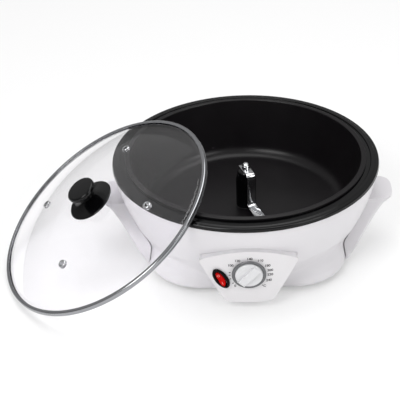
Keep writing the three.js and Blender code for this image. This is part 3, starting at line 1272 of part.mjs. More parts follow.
// Leaning lid: its lowest edge stands on the floor and its underside or band rests on the rim.
// The distance from the roaster's axis is found by halving until the lid just clears the rim.
function leaningLid() {
  const tilt = degrees(LID_TILT);
  const azimuth = degrees(LID_AZIMUTH);
  const half = LID_BAND_HEIGHT / 2;
  const edges = [[lidRadius, half - LID_BAND_EDGE], [lidRadius - LID_BAND_EDGE, half]];
  const low = Math.max(...edges.map(([out, down]) => out * Math.sin(tilt) + down * Math.cos(tilt)));
  const frame = new THREE.Group();
  frame.quaternion.setFromAxisAngle(new THREE.Vector3(-Math.sin(azimuth), Math.cos(azimuth), 0), tilt);
  const stand = (distance) => {
    frame.position.set(distance * Math.cos(azimuth), distance * Math.sin(azimuth), low - FOOT_HEIGHT);
    frame.updateMatrixWorld(true);
  };
  const rimEdges = [
    [panLipRadius + RIM_EDGE_RADIUS, panLip],
    [panLipRadius + PAN_FLANGE_WIDTH, panLip - RIM_EDGE_RADIUS],
    [RIM_RADIUS - RIM_OUTER_BAND - RIM_EDGE_RADIUS, rimTop + RIM_RIDGE_RISE - RIM_EDGE_RADIUS / 2],
    [RIM_RADIUS - RIM_EDGE_RADIUS, rimTop],
  ];
  const rimPoints = rimEdges.flatMap(([radius, height]) => {
    const ring = arc(0, 0, radius, radius, 0, FULL_TURN, 3 * LARGE_SIDES);
    return ring.map(([x, y]) => new THREE.Vector3(x, y, height));
  });
  const vents = ventFrames().map((vent) => new THREE.Vector2(vent.position.x, vent.position.y));
  const ventHang = FIT_GAP + VENT_FLANGE_THICKNESS;
  const washerHang = 2 * FIT_GAP + LID_WASHER_THICKNESS + LID_SCREW_HEAD_HEIGHT;
  const touches = (point) => {
    const local = frame.worldToLocal(point.clone());
    const out = Math.hypot(local.x, local.y);
    if (out > lidRadius + FIT_GAP) return false;
    const inVent = vents.some((vent) => vent.distanceTo(local) < VENT_FLANGE_RADIUS + FIT_GAP);
    const hang = out < LID_WASHER_RADIUS + FIT_GAP ? washerHang : (inVent ? ventHang : 0);
    const underside = out < bandInner - FIT_GAP ? underGlass(out) - hang : -half;
    return local.z > underside - FIT_GAP;
  };
  let [near, far] = [0, lidRadius + RIM_RADIUS];
  for (let step = 0; step < MEDIUM_SIDES; step += 1) {
    const middle = (near + far) / 2;
    stand(middle);
    if (rimPoints.some(touches)) near = middle;
    else far = middle;
  }
  stand(far);
  return frame;
}

// Finishes
function finish(color, roughness, metalness = 0) {
  return new THREE.MeshStandardMaterial({ color, roughness, metalness });
}

const whitePlastic = finish(0xf1f0f1, 0.35);
const blackGloss = finish(0x141416, 0.15);
const panCoating = finish(0x1b1a1c, 0.4);
const stainless = finish(0xc9cacc, 0.22, 1);
const zincSteel = finish(0xa8abae, 0.4, 1);
const bronze = finish(0xb08a52, 0.4, 1);
const knobSilver = finish(0x8f9092, 0.35, 0.6);
const redPlastic = finish(0xd42020, 0.3);
const rubber = finish(0x232325, 0.85);
const nylon = finish(0xe6e2d6, 0.5);
const heaterSheath = finish(0x6d6a67, 0.5, 1);
const glass = finish(0xf4f6f7, 0.04);
glass.transparent = true;
glass.opacity = 0.35;

const roaster = new THREE.Group();
roaster.name = 'coffee_bean_roaster';

function add(parent, name, shape, material, place = [0, 0, 0]) {
  const mesh = new THREE.Mesh(asGeometry(shape), material);
  mesh.name = name;
  mesh.position.set(...place);
  parent.add(mesh);
  return mesh;
}

// Fixed pieces
add(roaster, 'outer_housing', outerHousing(), whitePlastic);
add(roaster, 'rim_ring', rimRing(), blackGloss);
add(roaster, 'roasting_pan', roastingPan(), panCoating);
add(roaster, 'heating_element', heatingElement(), heaterSheath);
add(roaster, 'heat_shield', heatShield(), zincSteel);
add(roaster, 'thermal_fuse', thermalFuse(), nylon);
add(roaster, 'base_cover', baseCover(), blackGloss);
cornersOf(footPlace).forEach(([x, y], i) => {
  add(roaster, `rubber_foot_${i + 1}`, rubberFoot(), rubber, [x, y, 0]);
});
cornersOf(coverScrewPlace).forEach(([x, y], i) => {
  add(roaster, `base_screw_${i + 1}`, screw(COVER_SCREW_LENGTH), zincSteel, [x, y, -FIT_GAP]);
});
gearPosts.forEach(([x, y], i) => {
  const down = screw(GEAR_SCREW_LENGTH).rotateX(Math.PI);
  add(roaster, `gear_plate_screw_${i + 1}`, down, zincSteel, [x, y, gearPlateTop + FIT_GAP]);
});
add(roaster, 'handle_right', earHandle(1), whitePlastic);
add(roaster, 'handle_left', earHandle(-1), whitePlastic);
[['right', 1], ['left', -1]].forEach(([side, sign]) => {
  earScrewPlaces().forEach(({ y, z }, i) => {
    const turnedScrew = screw(EAR_SCREW_LENGTH).rotateY(sign * QUARTER_TURN);
    add(roaster, `handle_screw_${side}_${i + 1}`, turnedScrew, zincSteel, [sign * earScrewSeat(y, z), y, z]);
  });
});
add(roaster, 'control_panel', controlPanel(), whitePlastic);
add(roaster, 'drive_motor', driveMotor(), zincSteel, [0, axleDistance, 0]);
add(roaster, 'gear_plate', gearPlate(), zincSteel);
add(roaster, 'gear_cover', gearCover(), nylon);
add(roaster, 'plate_bush', plateBush(), bronze);
add(roaster, 'collar_bush', collarBush(), bronze);
add(roaster, 'shaft_seal', shaftSeal(), rubber);
add(roaster, 'terminal_block', terminalBlock(), nylon);

add(cordFrame, 'cord_bush', cordBush(), rubber);
roaster.add(cordFrame);

// Stirrer and its drive
add(roaster, 'drive_shaft', driveShaft(), stainless);
add(roaster, 'shaft_clip', shaftClip(), zincSteel);
add(roaster, 'output_gear', outputGear(), nylon);
add(roaster, 'stirrer_hub', stirrerHub(), blackGloss);
add(roaster, 'stirrer_arm', stirrerArm(), stainless);
add(roaster, 'stirrer_nut', capNut(), stainless);
add(roaster, 'motor_shaft', motorShaft(), stainless, [0, axleDistance, 0]);
add(roaster, 'motor_pinion', motorPinion(), nylon, [0, axleDistance, 0]);

// Knob, thermostat and switch on the panel
add(knobFrame, 'thermostat', thermostatBody(), zincSteel);
add(knobFrame, 'thermostat_nut', thermostatNut(), zincSteel);
add(knobFrame, 'thermostat_shaft', knobShaft(), zincSteel);
add(knobFrame, 'temperature_knob', temperatureKnob(), whitePlastic);
add(knobFrame, 'knob_ring', knobRing(), knobSilver);
roaster.add(knobFrame);
add(switchFrame, 'switch_bezel', switchBezel(), blackGloss);
add(switchFrame, 'switch_rocker', switchRocker(), redPlastic);
roaster.add(switchFrame);

// Lid leaning on the rim
const lid = leaningLid();
add(lid, 'lid_glass', lidGlass(), glass);
add(lid, 'lid_rim_band', lidBand(), stainless);
ventFrames().forEach((frame, i) => {
  add(frame, `vent_eyelet_${i + 1}`, ventEyelet(), stainless);
  lid.add(frame);
});
add(lid, 'lid_knob_skirt', lidKnobSkirt(), blackGloss);
add(lid, 'lid_knob', lidKnob(), blackGloss);
add(lid, 'lid_knob_washer', lidWasher(), rubber);
add(lid, 'lid_knob_screw', lidScrew(), zincSteel);
roaster.add(lid);

export default roaster;
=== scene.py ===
import math

import bmesh
import bpy
from mathutils import Matrix, Vector


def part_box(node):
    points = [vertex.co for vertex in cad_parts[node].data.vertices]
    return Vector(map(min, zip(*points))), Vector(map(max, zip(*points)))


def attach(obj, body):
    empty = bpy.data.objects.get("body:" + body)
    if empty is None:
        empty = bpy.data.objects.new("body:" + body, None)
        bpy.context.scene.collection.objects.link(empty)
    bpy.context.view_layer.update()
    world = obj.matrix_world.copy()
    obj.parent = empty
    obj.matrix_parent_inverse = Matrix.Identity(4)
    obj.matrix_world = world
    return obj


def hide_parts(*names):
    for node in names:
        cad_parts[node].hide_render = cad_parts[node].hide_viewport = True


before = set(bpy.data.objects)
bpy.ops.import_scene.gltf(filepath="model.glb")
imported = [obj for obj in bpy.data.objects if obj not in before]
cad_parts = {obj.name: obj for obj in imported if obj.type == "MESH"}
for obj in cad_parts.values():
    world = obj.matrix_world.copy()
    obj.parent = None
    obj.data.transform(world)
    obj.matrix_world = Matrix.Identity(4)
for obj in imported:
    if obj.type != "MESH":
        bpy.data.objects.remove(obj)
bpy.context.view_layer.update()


# Bottom plate
# A flat cover of black moulded ABS closes the housing from below. Three posts on it carry the
# gear plate, and four zinc-plated screws hold it to bosses in the housing.

def linear(hex_code):
    channels = [int(hex_code[i:i + 2], 16) / 255 for i in (1, 3, 5)]
    return [c / 12.92 if c <= 0.04045 else ((c + 0.055) / 1.055) ** 2.4 for c in channels] + [1.0]


def add_node(tree, kind, settings=None, links=None):
    node = tree.nodes.new(kind)
    for key, value in (settings or {}).items():
        if key in node.inputs:
            node.inputs[key].default_value = value
        else:
            setattr(node, key, value)
    for key, socket in (links or {}).items():
        tree.links.new(socket, node.inputs[key])
    return node


def new_material(name, settings):
    material = bpy.data.materials.new(name)
    material.use_nodes = True
    tree = material.node_tree
    shader = tree.nodes["Principled BSDF"]
    for key, value in settings.items():
        shader.inputs[key].default_value = value
    place = add_node(tree, "ShaderNodeTexCoord").outputs["Object"]
    return material, tree, shader, place


def dress(names, material):
    for name in names:
        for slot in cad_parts[name].material_slots:
            slot.material = material


# Textured ABS: spark-eroded mould grain of about 0.6 mm, a soft sheen rather than a shine
abs_grain_mm = 0.6
textured_abs, tree, shader, place = new_material("black_textured_abs", {
    "Base Color": linear("#1c1c1e"), "Roughness": 0.48, "IOR": 1.54})
grain = add_node(tree, "ShaderNodeTexNoise", {"Scale": 1000 / abs_grain_mm, "Detail": 2},
                 {"Vector": place})
bump = add_node(tree, "ShaderNodeBump", {"Strength": 0.25, "Distance": 0.0001},
                {"Height": grain.outputs["Fac"]})
tree.links.new(bump.outputs["Normal"], shader.inputs["Normal"])
dress(["base_cover"], textured_abs)

# Zinc plating on pressed steel: grey metal with a cloudy, slightly uneven passivated surface
zinc_cloud_mm = 6
zinc_plated, tree, shader, place = new_material("zinc_plated_steel", {
    "Base Color": linear("#b9bcbf"), "Metallic": 1.0, "Roughness": 0.36})
cloud = add_node(tree, "ShaderNodeTexNoise", {"Scale": 1000 / zinc_cloud_mm, "Detail": 4},
                 {"Vector": place})
spread = add_node(tree, "ShaderNodeMapRange", {"To Min": 0.28, "To Max": 0.46},
                  {"Value": cloud.outputs["Fac"]})
tree.links.new(spread.outputs["Result"], shader.inputs["Roughness"])
dress(["base_screw_%d" % i for i in range(1, 5)], zinc_plated)


# Feet
# Four black rubber pads stand under the cover. Each is one moulding with a stem that snaps
# through its hole.

def spun(profile, steps=96):
    """Turns a profile of (radius, height) in mm about Z, closed unless both its ends are on Z."""
    bm = bmesh.new()
    points = [bm.verts.new((radius / 1000, 0, height / 1000)) for radius, height in profile]
    edges = [bm.edges.new(pair) for pair in zip(points, points[1:] + points[:1])]
    if profile[0][0] == 0 and profile[-1][0] == 0:
        bm.edges.remove(edges.pop())
    bmesh.ops.spin(bm, geom=points + edges, cent=(0, 0, 0), axis=(0, 0, 1), angle=math.tau,
                   steps=steps, use_merge=True)
    bmesh.ops.remove_doubles(bm, verts=bm.verts, dist=1e-6)
    bmesh.ops.recalc_face_normals(bm, faces=bm.faces)
    return bm


def round_edges(piece, width_mm, sharp, segments=3):
    bevel = piece.modifiers.new("edges", "BEVEL")
    bevel.width = width_mm / 1000
    bevel.segments = segments
    bevel.limit_method = "ANGLE"
    bevel.angle_limit = math.radians(sharp)


def make_piece(name, bm, material, body, replaces=(), place=None, edge_mm=0, sharp=35):
    """Makes a mesh a piece on a body; its edges over `sharp` degrees stay crisp or are rounded."""
    if place is not None:
        bmesh.ops.transform(bm, matrix=place, verts=bm.verts)
    mesh = bpy.data.meshes.new(name)
    bm.to_mesh(mesh)
    bm.free()
    mesh.materials.append(material)
    mesh.shade_smooth()
    mesh.set_sharp_from_angle(angle=math.radians(sharp))
    piece = bpy.data.objects.new(name, mesh)
    bpy.context.scene.collection.objects.link(piece)
    if edge_mm:
        round_edges(piece, edge_mm, sharp)
    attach(piece, body)
    if replaces:
        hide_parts(*replaces)
    return piece


# Natural rubber with carbon black: dull, with a powdery bloom
rubber_bloom_mm = 4
foot_rubber, tree, shader, place = new_material("black_natural_rubber", {
    "Base Color": linear("#26262a"), "Roughness": 0.82, "IOR": 1.52})
bloom = add_node(tree, "ShaderNodeTexNoise", {"Scale": 1000 / rubber_bloom_mm, "Detail": 5},
                 {"Vector": place})
dust = add_node(tree, "ShaderNodeMapRange", {"To Min": 0.7, "To Max": 0.92},
                {"Value": bloom.outputs["Fac"]})
tree.links.new(dust.outputs["Result"], shader.inputs["Roughness"])

foot_height, foot_spread = 6, 72
foot_profile = [(0, -foot_height), (7.8, -foot_height), (9, -0.3), (3, -0.3), (3, 2.8), (4.2, 2.8),
                (3, 4.8), (0, 4.8)]
for i, (side, front) in enumerate([(1, 1), (-1, 1), (-1, -1), (1, -1)], 1):
    foot_place = Matrix.Translation(Vector((side * foot_spread, front * foot_spread, 0)) / 1000)
    make_piece("foot_pad_%d" % i, spun(foot_profile, 40), foot_rubber, "base",
               ["rubber_foot_%d" % i], foot_place, 0.3)


# Motor, gears and bearings
# A flat geared motor stands on the cover and drives a nylon gear pair above its steel plate.
# The stirrer's shaft runs in sintered bronze bushes, with a rubber seal at the pan's collar.

dress(["drive_motor", "gear_plate", "shaft_clip", "heat_shield", "thermostat", "thermostat_nut",
       "thermostat_shaft", "lid_knob_screw"], zinc_plated)
dress(["gear_plate_screw_%d" % i for i in (1, 2, 3)], zinc_plated)
dress(["handle_screw_%s_%d" % (side, i) for side in ("right", "left") for i in (1, 2)], zinc_plated)

# Natural nylon: milky, faintly translucent, with flow marks from the gate
flow_mark_mm = 9
milky_nylon, tree, shader, place = new_material("natural_nylon", {
    "Base Color": linear("#e8e3d6"), "Roughness": 0.46, "IOR": 1.53, "Subsurface Weight": 0.15,
    "Subsurface Radius": (0.002, 0.0018, 0.0012)})
flow = add_node(tree, "ShaderNodeTexNoise", {"Scale": 1000 / flow_mark_mm, "Detail": 3},
                {"Vector": place})
tint = add_node(tree, "ShaderNodeValToRGB", links={"Fac": flow.outputs["Fac"]})
tint.color_ramp.elements[0].color = linear("#ded8c8")
tint.color_ramp.elements[1].color = linear("#efebe0")
tree.links.new(tint.outputs["Color"], shader.inputs["Base Color"])
dress(["gear_cover", "output_gear", "motor_pinion", "terminal_block", "thermal_fuse"], milky_nylon)

# Sintered bronze: porous and oily. Its pores are drawn coarser than they are, so that they show
pore_mm = 0.3
oily_bronze, tree, shader, place = new_material("sintered_bronze", {
    "Base Color": linear("#b48d55"), "Metallic": 1.0, "Roughness": 0.4})
pores = add_node(tree, "ShaderNodeTexVoronoi", {"Scale": 1000 / pore_mm}, {"Vector": place})
pits = add_node(tree, "ShaderNodeBump", {"Strength": 0.3, "Distance": 0.0001},
                {"Height": pores.outputs["Distance"]})
tree.links.new(pits.outputs["Normal"], shader.inputs["Normal"])
dress(["plate_bush", "collar_bush"], oily_bronze)
dress(["shaft_seal", "lid_knob_washer"], foot_rubber)

# Ground stainless steel: bright, with a fine uneven shine from the grinding
grinding_mm = 0.2
ground_stainless, tree, shader, place = new_material("ground_stainless_steel", {
    "Base Color": linear("#cfd0d2"), "Metallic": 1.0, "Roughness": 0.2})
lines = add_node(tree, "ShaderNodeTexNoise", {"Scale": 1000 / grinding_mm, "Detail": 2},
                 {"Vector": place})
shine = add_node(tree, "ShaderNodeMapRange", {"To Min": 0.14, "To Max": 0.26},
                 {"Value": lines.outputs["Fac"]})
tree.links.new(shine.outputs["Result"], shader.inputs["Roughness"])
dress(["drive_shaft", "motor_shaft"], ground_stainless)

# Heater sheath: steel browned by its own heat
heat_tint_mm = 14
browned_steel, tree, shader, place = new_material("heat_browned_steel", {
    "Base Color": linear("#6e6862"), "Metallic": 1.0, "Roughness": 0.5})
scorch = add_node(tree, "ShaderNodeTexNoise", {"Scale": 1000 / heat_tint_mm, "Detail": 4},
                  {"Vector": place})
brown = add_node(tree, "ShaderNodeValToRGB", links={"Fac": scorch.outputs["Fac"]})
brown.color_ramp.elements[0].color = linear("#55493f")
brown.color_ramp.elements[1].color = linear("#7f7c78")
tree.links.new(brown.outputs["Color"], shader.inputs["Base Color"])
dress(["heating_element"], browned_steel)


# Housing
# One white injection-moulded shell: a bowl that flares up to the rim and runs down into a
# rounded-square plinth. The crease between the two fades out at the sides.

bowl_height, bowl_foot, bowl_top, bowl_power = 99.3, 110, 149, 1.5
plinth_half, plinth_corner, plinth_height, plinth_inset = 112, 61, 40, 20
plinth_fall, housing_wall, crease_round, crease_fade = 3, 3, 5, 30
shell_rows, shell_steps = 56, 200
# How far the plinth's side leans in towards its top: share of its height, share of the inset
inset_levels = [(0, 0.08), (0.06, 0), (0.25, 0.05), (0.45, 0.15), (0.62, 0.29), (0.8, 0.55), (1, 1)]


def bowl_radius(z):
    return bowl_foot + (bowl_top - bowl_foot) * (1 - max(0, 1 - z / bowl_height) ** bowl_power)


def square_radius(angle, half, corner):
    """Distance from the centre of a rounded square to its edge, in one direction."""
    across = sorted((abs(math.cos(angle)), abs(math.sin(angle))))
    centre = half - corner
    if half * across[0] / across[1] < centre:
        return half / across[1]
    middle = centre * (across[0] + across[1])
    return middle + math.sqrt(middle ** 2 - 2 * centre ** 2 + corner ** 2)


def plinth_radius(angle, z):
    share = min(z / plinth_height, 1)
    for (low, start), (high, end) in zip(inset_levels, inset_levels[1:]):
        if share <= high:
            inset = start + (end - start) * (share - low) / (high - low)
            break
    fall = max(0, z - plinth_height) * plinth_fall
    return square_radius(angle, plinth_half - plinth_inset * inset, plinth_corner) - fall


def housing_radius(angle, z):
    """The larger of bowl and plinth, with a soft crease where they meet."""
    bowl, plinth = bowl_radius(z), plinth_radius(angle, z)
    blend = (bowl + plinth + math.sqrt((bowl - plinth) ** 2 + crease_round ** 2)) / 2
    return blend - crease_round / 2 * (1 - min(1, abs(bowl - plinth) / crease_fade))


# Glossy white ABS: clean and bright, with a faint ripple that only shows in reflections
ripple_mm = 30
housing_tone = "#e1dfe2"
white_abs, tree, shader, place = new_material("gloss_white_abs", {
    "Base Color": linear(housing_tone), "Roughness": 0.3, "IOR": 1.54})
ripple = add_node(tree, "ShaderNodeTexNoise", {"Scale": 1000 / ripple_mm, "Detail": 2},
                  {"Vector": place})
wave = add_node(tree, "ShaderNodeBump", {"Strength": 0.08, "Distance": 0.001},
                {"Height": ripple.outputs["Fac"]})
sheen = add_node(tree, "ShaderNodeMapRange", {"To Min": 0.26, "To Max": 0.34},
                 {"Value": ripple.outputs["Fac"]})
tree.links.new(wave.outputs["Normal"], shader.inputs["Normal"])
tree.links.new(sheen.outputs["Result"], shader.inputs["Roughness"])

shell = bmesh.new()
levels = [bowl_height * i / shell_rows for i in range(shell_rows + 1)]
column = [shell.verts.new((1, 0, z / 1000)) for z in levels]
strips = [shell.edges.new(pair) for pair in zip(column, column[1:])]
bmesh.ops.spin(shell, geom=column + strips, cent=(0, 0, 0), axis=(0, 0, 1), angle=math.tau,
               steps=shell_steps, use_merge=True)
for vert in shell.verts:
    angle, z = math.atan2(vert.co.y, vert.co.x), vert.co.z * 1000
    out = housing_radius(angle, z) / 1000
    vert.co.x, vert.co.y = out * math.cos(angle), out * math.sin(angle)
bmesh.ops.recalc_face_normals(shell, faces=shell.faces)
if sum(face.normal.dot(face.calc_center_median()) for face in shell.faces) < 0:
    bmesh.ops.reverse_faces(shell, faces=shell.faces)
bmesh.ops.solidify(shell, geom=shell.faces[:], thickness=housing_wall / 1000)
make_piece("housing_shell", shell, white_abs, "base", ["outer_housing"], None,
           0.5, 50)


# Panel pod
# The shell bulges forward behind the control panel, with straight walls of the panel's outline.
# A strip covers the step between the panel's arched top edge and the bowl; its pale grey is painted
# shade for that step.

panel_knob_z, panel_reach, panel_lean = 44.8, 145.82, 0.075
panel_thickness, panel_gap = 3, 0.3
panel_bottom, panel_crown, shoulder_z = 4.6, 73.6, 56.7
bottom_half, shoulder_half = 25.9, 54
bottom_round, shoulder_round, arch_cuts, sheet_step_x, sheet_step_z = 5, 3.3, 26, 4, 8


def panel_arch(x):
    return shoulder_z + (panel_crown - shoulder_z) * (1 - (x / shoulder_half) ** 2)


def panel_radius(z):
    return panel_reach + panel_lean * (z - panel_knob_z)


def panel_sheet(back):
    """The panel's outline as a sheet, bowed round the bowl, so many mm behind the panel's face."""
    bm = bmesh.new()
    side = [(bottom_half, panel_bottom), (shoulder_half, shoulder_z)]
    outline = [(-bottom_half, panel_bottom)] + side + [(-shoulder_half, shoulder_z)]
    verts = [bm.verts.new((x / 1000, 0, z / 1000)) for x, z in outline]
    bm.faces.new(verts)
    top = [edge for edge in bm.edges if all(v in (verts[2], verts[3]) for v in edge.verts)]
    bmesh.ops.subdivide_edges(bm, edges=top, cuts=arch_cuts)
    for vert in bm.verts:
        if vert.co.z > (shoulder_z - 1) / 1000:
            vert.co.z = panel_arch(vert.co.x * 1000) / 1000
    rounds = [(bottom_round, 8)] * 2 + [(shoulder_round, 6)] * 2
    for (x, z), (offset, segments) in zip(outline, rounds):
        corner = min(bm.verts, key=lambda vert: (vert.co - Vector((x, 0, z)) / 1000).length)
        bmesh.ops.bevel(bm, geom=[corner], offset=offset / 1000, segments=segments, profile=0.5,
                        affect="VERTICES", material=-1)
    cuts = [((x / 1000, 0, 0), (1, 0, 0)) for x in range(-52, 53, sheet_step_x)]
    cuts += [((0, 0, z / 1000), (0, 0, 1)) for z in range(8, 73, sheet_step_z)]
    for point, normal in cuts:
        bmesh.ops.bisect_plane(bm, geom=bm.verts[:] + bm.edges[:] + bm.faces[:], plane_co=point,
                               plane_no=normal, dist=1e-7)
    for vert in bm.verts:
        radius = (panel_radius(vert.co.z * 1000) - back) / 1000
        vert.co.y = -math.sqrt(radius ** 2 - vert.co.x ** 2)
    return bm


pod_depth = 14
pod = panel_sheet(panel_thickness + panel_gap)
border = [edge for edge in pod.edges if edge.is_boundary]
walls = bmesh.ops.extrude_edge_only(pod, edges=border)["geom"]
bmesh.ops.translate(pod, vec=(0, pod_depth / 1000, 0),
                    verts=[item for item in walls if isinstance(item, bmesh.types.BMVert)])
bmesh.ops.recalc_face_normals(pod, faces=pod.faces)
make_piece("panel_pod", pod, white_abs, "base", (), None, 0.8, 30)

# Strip over the step, in a duller mould finish: its pale grey is painted shade, one step darker
# than the shell, which fades to the shell's colour towards both ends
stipple_mm, fade_start_mm, fade_end_mm = 12, 36, 51
ledge_shade_tone = "#cfcdd0"
ledge_shade_paint, tree, shader, place = new_material("ledge_painted_shade", {
    "Base Color": linear(ledge_shade_tone), "Roughness": 0.4, "IOR": 1.54})
stipple = add_node(tree, "ShaderNodeTexNoise", {"Scale": 1000 / stipple_mm, "Detail": 3},
                   {"Vector": place})
dull = add_node(tree, "ShaderNodeMapRange", {"To Min": 0.36, "To Max": 0.46},
                {"Value": stipple.outputs["Fac"]})
tree.links.new(dull.outputs["Result"], shader.inputs["Roughness"])
along = add_node(tree, "ShaderNodeSeparateXYZ", links={"Vector": place})
aside = add_node(tree, "ShaderNodeMath", {"operation": "ABSOLUTE"}, {0: along.outputs["X"]})
end_share = add_node(tree, "ShaderNodeMapRange", {"From Min": fade_start_mm / 1000,
                                                  "From Max": fade_end_mm / 1000},
                     {"Value": aside.outputs["Value"]})
# The painted shade of the step fades into the shell's colour between these two distances from the
# middle
shade = add_node(tree, "ShaderNodeValToRGB", links={"Fac": end_share.outputs["Result"]})
shade.color_ramp.elements[0].color = linear(ledge_shade_tone)
shade.color_ramp.elements[1].color = linear(housing_tone)
tree.links.new(shade.outputs["Color"], shader.inputs["Base Color"])

ledge_half, ledge_crown, ledge_droop, ledge_steps = 51.5, 76.8, 22.4, 52
ledge_front, ledge_back, ledge_cover, ledge_step, ledge_gauge = 0.7, 3.2, 0.35, 0.25, 0.6


def thicken(piece, thickness_mm, offset=-1):
    wall = piece.modifiers.new("wall", "SOLIDIFY")
    wall.thickness = thickness_mm / 1000
    wall.offset = offset


# Four rows: over the plate's edge at its front and back, and up to where the strip ends on the bowl
ledge = bmesh.new()
for row in range(4):
    points = []
    for i in range(ledge_steps + 1):
        x = -ledge_half + 2 * ledge_half * i / ledge_steps
        arch, line = panel_arch(x), ledge_crown - ledge_droop * (x / shoulder_half) ** 2
        share = 1 - (abs(x) / ledge_half) ** 6
        radius, z = [(panel_radius(arch) - ledge_front, arch + ledge_cover * share),
                     (panel_radius(arch) - ledge_back, arch + ledge_cover * share),
                     (bowl_radius(arch + 1) + ledge_step, max(arch + 1, (arch + line) / 2)),
                     (bowl_radius(line) + ledge_step, line)][row]
        points.append(ledge.verts.new(Vector((x, -math.sqrt(radius ** 2 - x ** 2), z)) / 1000))
    edges = [ledge.edges.new(pair) for pair in zip(points, points[1:])]
    if row:
        bmesh.ops.bridge_loops(ledge, edges=before + edges)
    before = edges
bmesh.ops.recalc_face_normals(ledge, faces=ledge.faces)
thicken(make_piece("panel_ledge", ledge, ledge_shade_paint, "base"), ledge_gauge)


# Side ears
# Two hollow mouldings stand out from the sides as handles. They overhang at the top, flare
# down to the base, and are screwed on from inside, so a thin dark joint shows beside the bowl.

ear_top, ear_foot_x, ear_top_x, ear_foot_y, ear_top_y = 59, 116.6, 168, 58, 25
ear_wall, ear_seam, ear_edge, ear_round_share, ear_corner_power = 3, 1.1, 1.1, 0.7, 2 / 3
ear_rows, ear_columns = 24, 40
# Share of the ear's height, then its reach and its half width there, as shares of their ranges
ear_levels = [(0, 0, 1), (0.2, 0.165, 0.94), (0.39, 0.349, 0.7), (0.63, 0.583, 0.33),
              (0.86, 0.815, 0.07), (0.95, 0.97, 0.01), (1, 0.98, 0)]


def between(table, share, column):
    """Smooth value of a table's column at a share of the ear's height."""
    steps = [row[0] for row in table]
    i = max(k for k in range(len(steps) - 1) if steps[k] <= share + 1e-9)
    last = len(table) - 1
    before, start, end, after = (table[max(0, min(last, i + k))][column] for k in (-1, 0, 1, 2))
    span = steps[i + 1] - steps[i]
    t = (share - steps[i]) / span
    lean_in = (end - before) / (steps[i + 1] - steps[max(0, i - 1)]) * span
    lean_out = (after - start) / (steps[min(last, i + 2)] - steps[i]) * span
    return ((2 * t ** 3 - 3 * t ** 2 + 1) * start + (t ** 3 - 2 * t ** 2 + t) * lean_in
            + (3 * t ** 2 - 2 * t ** 3) * end + (t ** 3 - t ** 2) * lean_out)


def beside_housing(y, z):
    """How far out the ear's inner edge lies at a depth and height, found by closing in on it."""
    x = bowl_foot + 10
    for _ in range(12):
        x = math.sqrt(max(housing_radius(math.atan2(y, x), z) ** 2 - y ** 2, 1))
    return x + ear_seam


def ear_row(share):
    """One row of the ear's outside, from its front edge at the housing round to its rear edge."""
    z = ear_top * share
    reach = ear_foot_x + (ear_top_x - ear_foot_x) * between(ear_levels, share, 1)
    half = ear_top_y + (ear_foot_y - ear_top_y) * between(ear_levels, share, 2)
    depth = max(reach - bowl_radius(z), ear_wall) * ear_round_share
    row = []
    for i in range(ear_columns + 1):
        angle = math.pi * (i / ear_columns - 0.5)
        y = half * math.copysign(abs(math.sin(angle)) ** ear_corner_power, angle)
        x = reach - depth + depth * abs(math.cos(angle)) ** ear_corner_power
        row.append((max(x, beside_housing(y, z)), y, z))
    ends = [(beside_housing(y, z), y, z) for y in (-half, half)]
    return [ends[0]] + row + [ends[1]]


def make_ear(name, side, node):
    rows = [ear_row(i / ear_rows) for i in range(ear_rows + 1)]
    rows = [[(beside_housing(y, z), y, z) for x, y, z in rows[0]]] + rows
    rows.append([(beside_housing(y, z), y, z) for x, y, z in rows[-1]])
    bm = bmesh.new()
    sheet = bmesh.ops.create_grid(bm, x_segments=len(rows[0]) - 1, y_segments=len(rows) - 1, size=1)
    for vert, point in zip(sheet["verts"], [point for row in rows for point in row]):
        vert.co = Vector(point) / 1000
    bmesh.ops.remove_doubles(bm, verts=bm.verts, dist=2e-5)
    bmesh.ops.recalc_face_normals(bm, faces=bm.faces)
    inside = Vector((0.12, 0, 0.03))
    if sum((face.calc_center_median() - inside).dot(face.normal) for face in bm.faces) < 0:
        bmesh.ops.reverse_faces(bm, faces=bm.faces)
    ear = make_piece(name, bm, white_abs, "base", [node],
                     Matrix.Rotation(0 if side > 0 else math.pi, 4, "Z"), 0, 45)
    thicken(ear, ear_wall)
    round_edges(ear, ear_edge, 40)


make_ear("ear_right", 1, "handle_right")
make_ear("ear_left", -1, "handle_left")


# Rim ring
# A glossy black ring clips over the housing's top edge. Its top is stepped: an outer edge, a
# flat ridge, and a groove in which the pan's flange lies.

# Phenolic moulding, polished: near-black with a wet shine
polish_mm = 25
gloss_black, tree, shader, place = new_material("polished_black_phenolic", {
    "Base Color": linear("#050506"), "Roughness": 0.12, "IOR": 1.5, "Specular IOR Level": 0.3})
haze = add_node(tree, "ShaderNodeTexNoise", {"Scale": 1000 / polish_mm, "Detail": 3},
                {"Vector": place})
wet = add_node(tree, "ShaderNodeMapRange", {"To Min": 0.08, "To Max": 0.16},
               {"Value": haze.outputs["Fac"]})
tree.links.new(wet.outputs["Result"], shader.inputs["Roughness"])

rim_profile = [(133.1, 103.9), (137.0, 103.9), (140.7, 103.4), (141.4, 104.9), (145.5, 104.6),
               (146.2, 104.05), (149.3, 103.7), (150, 103.0), (150.6, 99.6), (144.9, 99.6),
               (144.9, 92.6), (141.9, 92.6), (141.9, 100.4), (133.1, 100.4)]
make_piece("rim_band", spun(rim_profile, 192), gloss_black, "base", ["rim_ring"], None,
           0.35, 20)


# Roasting pan
# Pressed aluminium with a dark non-stick coat, about 68 mm deep. Its rolled lip and flange
# rest on the rim ring, and a collar in its floor keeps the shaft's bushes dry.

pan_lip, pan_floor, lip_radius, foot_radius, pan_fillet = 107.4, 39.4, 130, 118, 14
collar_bore, collar_outside, collar_top, fillet_steps = 5.1, 8.1, 65.4, 8


def arc(x, z, radius, start, end, steps):
    """Points on an arc round a centre in a profile, between two angles in degrees."""
    turns = [math.radians(start + (end - start) * i / steps) for i in range(steps + 1)]
    return [(x + radius * math.cos(turn), z + radius * math.sin(turn)) for turn in turns]


